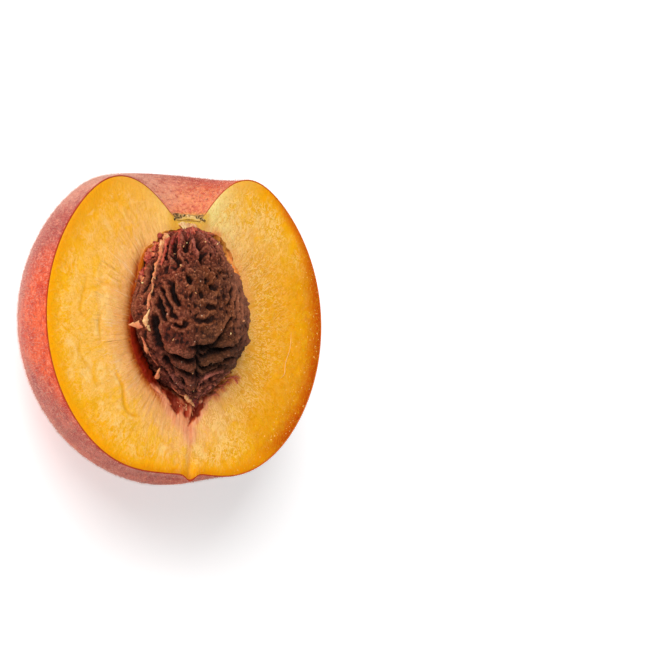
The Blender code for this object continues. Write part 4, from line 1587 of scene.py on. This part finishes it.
# A spike of flesh at the left edge of the gap, and a cream clot on the keel.
spike = ((-13.6, -0.6, 2.6), (-14.5, -0.3, 2.2), (-15.4, -0.3, 1.6), (-16.3, -0.2, 1.1))
add_shred(0.28, spike, (0.9, 0.85, 0.45, 0.05), 0.5, 0.7, 0.8, 215)
cream = off_the_stone(((2.8, 172), (1.4, 174), (0.5, 175), (-0.5, 174), (-1.6, 172.5)), 0.40)
add_shred(0.12, cream, (0.10, 0.45, 0.80, 0.50, 0.08), 0.45, 0.6, 0.8, 216)
# Tags of flesh low on the left, on the left keel and at the tip, and a dark spur at the tip.
for seed, tone, line in (
    (221, 0.34, ((-8.9, -11.3, 0.4), (-8.9, -10.2, 1.0), (-8.7, -9.0, 1.4))),
    (222, 0.30, ((-12.4, -3.8, 1.2), (-12.2, -5.2, 1.5), (-11.8, -6.2, 1.3))),
    (223, 0.22, ((-2.2, -14.6, 1.0), (-0.9, -15.9, 0.9), (1.0, -17.2, 0.5))),
):
    add_shred(tone, line, (0.45, 0.55, 0.08), 0.6, 0.7, 0.8, seed)
tip_spur = ((0.2, -14.4, 0.9), (0.5, -15.6, 0.9), (0.9, -16.6, 0.6), (1.2, -17.5, 0.3))
add_shred(0.98, tip_spur, (0.9, 1.0, 0.7, 0.1), 0.7, 0.5, 0.8, 224)

# Coral shreds that lie on the face, low on the right of the stone.
for seed, tone, line in (
    (230, 0.46, ((8.4, -11.6, -0.1), (10.3, -11.2, -0.15), (12.0, -10.8, -0.15), (13.6, -11.3, -0.2))),
    (231, 0.54, ((7.4, -12.7, -0.1), (8.9, -12.6, -0.15), (9.9, -12.0, -0.15), (11.2, -12.3, -0.2))),
    (232, 0.42, ((6.2, -13.8, -0.1), (7.6, -13.4, -0.15), (8.6, -13.1, -0.15), (9.1, -14.1, -0.2))),
    (233, 0.56, ((11.2, -10.9, -0.1), (12.2, -11.6, -0.15), (12.7, -12.5, -0.2))),
    (234, 0.48, ((4.6, -15.3, -0.1), (5.8, -14.8, -0.15), (7.0, -14.6, -0.15), (7.9, -15.1, -0.2))),
):
    add_shred(tone, line, (0.20, 0.14, 0.18, 0.04), 0.7, 0.9, 0.8, seed)

# A fine pale vein that the knife laid bare on the right of the face.
fine_vein = (
    (27.5, -0.8, -0.14),
    (27.2, -4.5, -0.16),
    (25.9, -7.8, -0.16),
    (25.5, -10.3, -0.16),
    (24.1, -11.4, -0.14),
)
add_shred(0.04, fine_vein, (0.02, 0.05, 0.05, 0.05, 0.02), 0.8, 0.4, 0.9, 225)

# Beads of torn flesh on the stone's upper left.
drawn = np.random.default_rng(211)
for bead in range(BEADS):
    along_at = drawn.uniform(9.4, 18.6)
    turn_at = drawn.uniform(187, 213) - 3.0 * eased(along_at, 14.0, 17.0)
    length = drawn.uniform(0.3, 0.9)
    lean = drawn.uniform(-5, 5)
    line = ((along_at, turn_at), (along_at - 0.5 * length, turn_at + lean), (along_at - length, turn_at))
    size = drawn.uniform(0.18, 0.42)
    tone = drawn.choice([0.34, 0.44, 0.50, 0.58, 0.72])
    add_shred(tone, off_the_stone(line, 0.30), (size, size, 0.6 * size), 0.9, 0.8, 0.7, 300 + bead)

# Fibres from under the scar that cling to the stone's top: a pale tuft, and crimson either side.
for fibre in range(TOP_FIBRES):
    side = -1 + 2 * (fibre + drawn.uniform(0, 1)) / TOP_FIBRES
    droop = abs(side) ** 1.3
    outward = 0.4 + (4.6 if side < 0 else 6.4) * side
    start_y = 20.8 - 1.6 * droop + 0.3 * drawn.uniform(-1, 1)
    start = (outward, start_y, -0.6 + 0.5 * drawn.uniform(-1, 1))
    top_mm = 20.2 - 0.9 * droop
    end_mm = 20.1 - 0.9 * droop - drawn.uniform(0.1, 1.0)
    line = ((top_mm, 122 - 52 * side), (end_mm, 120 - 50 * side))
    size = drawn.uniform(0.12, 0.26)
    tone = 0.50 + 0.40 * drawn.uniform(0, 1)
    path = (start, *off_the_stone(line, 0.06))
    add_shred(tone, path, (size * 1.2, size, 0.4 * size), 0.8, 0.8, 0.7, 400 + fibre)
for fibre in range(TUFT_FIBRES):
    outward = -2.3 + 0.27 * fibre
    start_y = 21.9 - 0.10 * outward**2 - 0.05 * fibre + 0.3 * drawn.uniform(-1, 1)
    middle_y = 21.1 + 0.2 * drawn.uniform(-1, 1)
    end_y = 20.3 - drawn.uniform(0.0, 0.8)
    path = ((outward * 1.1, start_y, -0.45), (outward * 0.95, middle_y, 0.0), (outward * 0.85, end_y, 0.7))
    size = drawn.uniform(0.16, 0.36)
    tone = drawn.uniform(0.0, 0.14) + 0.008 * fibre
    add_shred(tone, path, (size, size, 0.3 * size), 0.7, 0.8, 0.6, 470 + fibre)

# Red fibres in the torn tip, drawn together towards the seam.
for fibre in range(TIP_FIBRES):
    side = drawn.uniform(-1, 1)
    shift = drawn.uniform(-1, 1, 9)
    top_y = -14.6 - 2.2 * (1 - abs(side)) + 0.7 * shift[1]
    top = (-0.4 + 3.8 * side + 0.5 * shift[0], top_y, -0.9 + 0.3 * shift[2])
    middle = (-0.4 + 2.2 * side + 0.9 * shift[3], -16.8 + 0.7 * shift[4], -0.7 + 0.2 * shift[5])
    low = (-0.3 + 1.2 * side + 0.8 * shift[6], -18.7 + 1.0 * shift[7], -0.7 + 0.2 * shift[8])
    size = drawn.uniform(0.10, 0.24)
    tone = drawn.choice([0.12, 0.22, 0.30, 0.42, 0.55])
    flatness = drawn.uniform(0.35, 0.8)
    add_shred(tone, (top, middle, low), (0.5 * size, size, 0.3 * size), flatness, 0.9, 0.8, 500 + fibre)

# Pale crumbs of flesh caught on the stone.
crumb_rows = drawn.integers(20, STONE_ROWS - 16, CAUGHT_CRUMBS)
crumb_columns = drawn.integers(0, STONE_COLUMNS, CAUGHT_CRUMBS)
for crumb, (row, column) in enumerate(zip(crumb_rows, crumb_columns)):
    at = stone_rows[row, column] / MM
    if at[2] > 0.5 and at[1] < 18.0:
        heading = drawn.normal(size=3) * np.array([1, 1, 0.3])
        heading *= drawn.uniform(0.15, 0.42) / np.linalg.norm(heading)
        size = drawn.uniform(0.07, 0.16)
        path = (at - heading, at + np.array([0, 0, 0.06]), at + heading)
        add_shred(drawn.uniform(0.0, 0.35), path, (size, size, size), 0.8, 0.5, 0.5, 700 + crumb)

shred_rows = np.stack(shreds)
shred_rows[..., 2] = np.minimum(shred_rows[..., 2], highest / MM - BELOW_TOP_MM)
tissue = grid_object("flesh_shreds", shred_rows * MM, {"tone": np.stack(tones)})
stringy = Finish("torn_flesh")
vary = stringy.noise(stringy.place(), 900.0, 3.0, 0.6, 0.5)
torn_shades = (
    (0.0, shade(250, 210, 148)),
    (0.25, shade(208, 136, 88)),
    (0.5, shade(200, 94, 68)),
    (0.75, shade(146, 50, 40)),
    (1.0, shade(92, 28, 26)),
)
stringy.put_on(
    tissue,
    {
        "Base Color": stringy.ramp(stringy.measure("tone").shaken(vary, 0.7).held(), torn_shades),
        "Roughness": 0.5,
        "Normal": stringy.bump(0.4, 0.0003, vary),
        "Subsurface Weight": 0.25,
        "Subsurface Radius": (1.0, 0.4, 0.2),
        "Subsurface Scale": 0.0008,
        "IOR": 1.38,
        "Specular IOR Level": 0.4,
    },
)
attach(tissue, "root")


# ---------------------------------------------------------------------------------------
# The floor, the lamps and the camera. The floor is a plain white sheet that glows a little, in a
# dim white room. A large soft lamp stands at the upper left, a weaker one at the lower left, and
# a small one on the right puts glints on the wet flesh.
# ---------------------------------------------------------------------------------------
FLOOR_HALF = 3.0

floor_corners = [(x * FLOOR_HALF, y * FLOOR_HALF, 0) for x, y in ((-1, -1), (1, -1), (1, 1), (-1, 1))]
floor_mesh = bpy.data.meshes.new("pale_floor")
floor_mesh.from_pydata(floor_corners, [], [(0, 1, 2, 3)])
floor = put_in_scene("pale_floor", floor_mesh)
paper = Finish("pale_paper")
paper.put_on(
    floor,
    {
        "Base Color": shade(252, 252, 252),
        "Roughness": 0.9,
        "Specular IOR Level": 0.1,
        "Emission Color": (1.0, 1.0, 1.0, 1.0),
        "Emission Strength": 0.30,
    },
)

world = bpy.data.worlds.new("soft_room")
world.use_nodes = True
room_light = world.node_tree.nodes["Background"].inputs
room_light["Color"].default_value = (1.0, 1.0, 1.0, 1.0)
room_light["Strength"].default_value = 0.22
bpy.context.scene.world = world


def soft_lamp(name, direction, distance, size, watts):
    """A square lamp in this direction from the half, facing it."""
    lamp = bpy.data.lights.new(name, "AREA")
    lamp.size = size
    lamp.energy = watts
    made = put_in_scene(name, lamp)
    away = Vector(direction).normalized()
    made.location = Vector(set_down) + away * distance
    made.rotation_euler = away.to_track_quat("Z", "Y").to_euler()


soft_lamp("key", (-0.50, 0.50, 0.70), 0.90, 0.55, 8.6)
soft_lamp("fill", (-0.60, -0.62, 0.50), 0.90, 0.60, 3.4)
soft_lamp("glint", (0.66, 0.04, 0.75), 0.90, 0.05, 0.08)

CAMERA_LEAN = math.radians(36.0)
CAMERA_TILT = math.radians(-1.97)
CAMERA_ROLL = math.radians(-0.31)
CAMERA_DISTANCE = 0.380
CAMERA_AIM_ASIDE = math.radians(4.276)
back = Vector(
    (
        -math.sin(CAMERA_LEAN) * math.cos(CAMERA_TILT),
        math.sin(CAMERA_TILT),
        math.cos(CAMERA_LEAN) * math.cos(CAMERA_TILT),
    )
)
right = Vector((0, 1, 0)).cross(back).normalized()
up = back.cross(right)
upright = Matrix((right, up, back)).transposed().to_4x4()
camera = put_in_scene("camera", bpy.data.cameras.new("camera"))
camera.data.lens = 100.0
camera.data.sensor_width = 36.0
camera.data.clip_start = 0.01
camera.data.clip_end = 20.0
roll = Matrix.Rotation(CAMERA_ROLL, 4, "Z")
aside = Matrix.Rotation(-CAMERA_AIM_ASIDE, 4, "Y")
camera.matrix_world = Matrix.Translation(Vector(set_down) + back * CAMERA_DISTANCE) @ upright @ roll @ aside
bpy.context.scene.camera = camera
bpy.context.scene.view_settings.view_transform = "Standard"
bpy.context.scene.view_settings.look = "None"
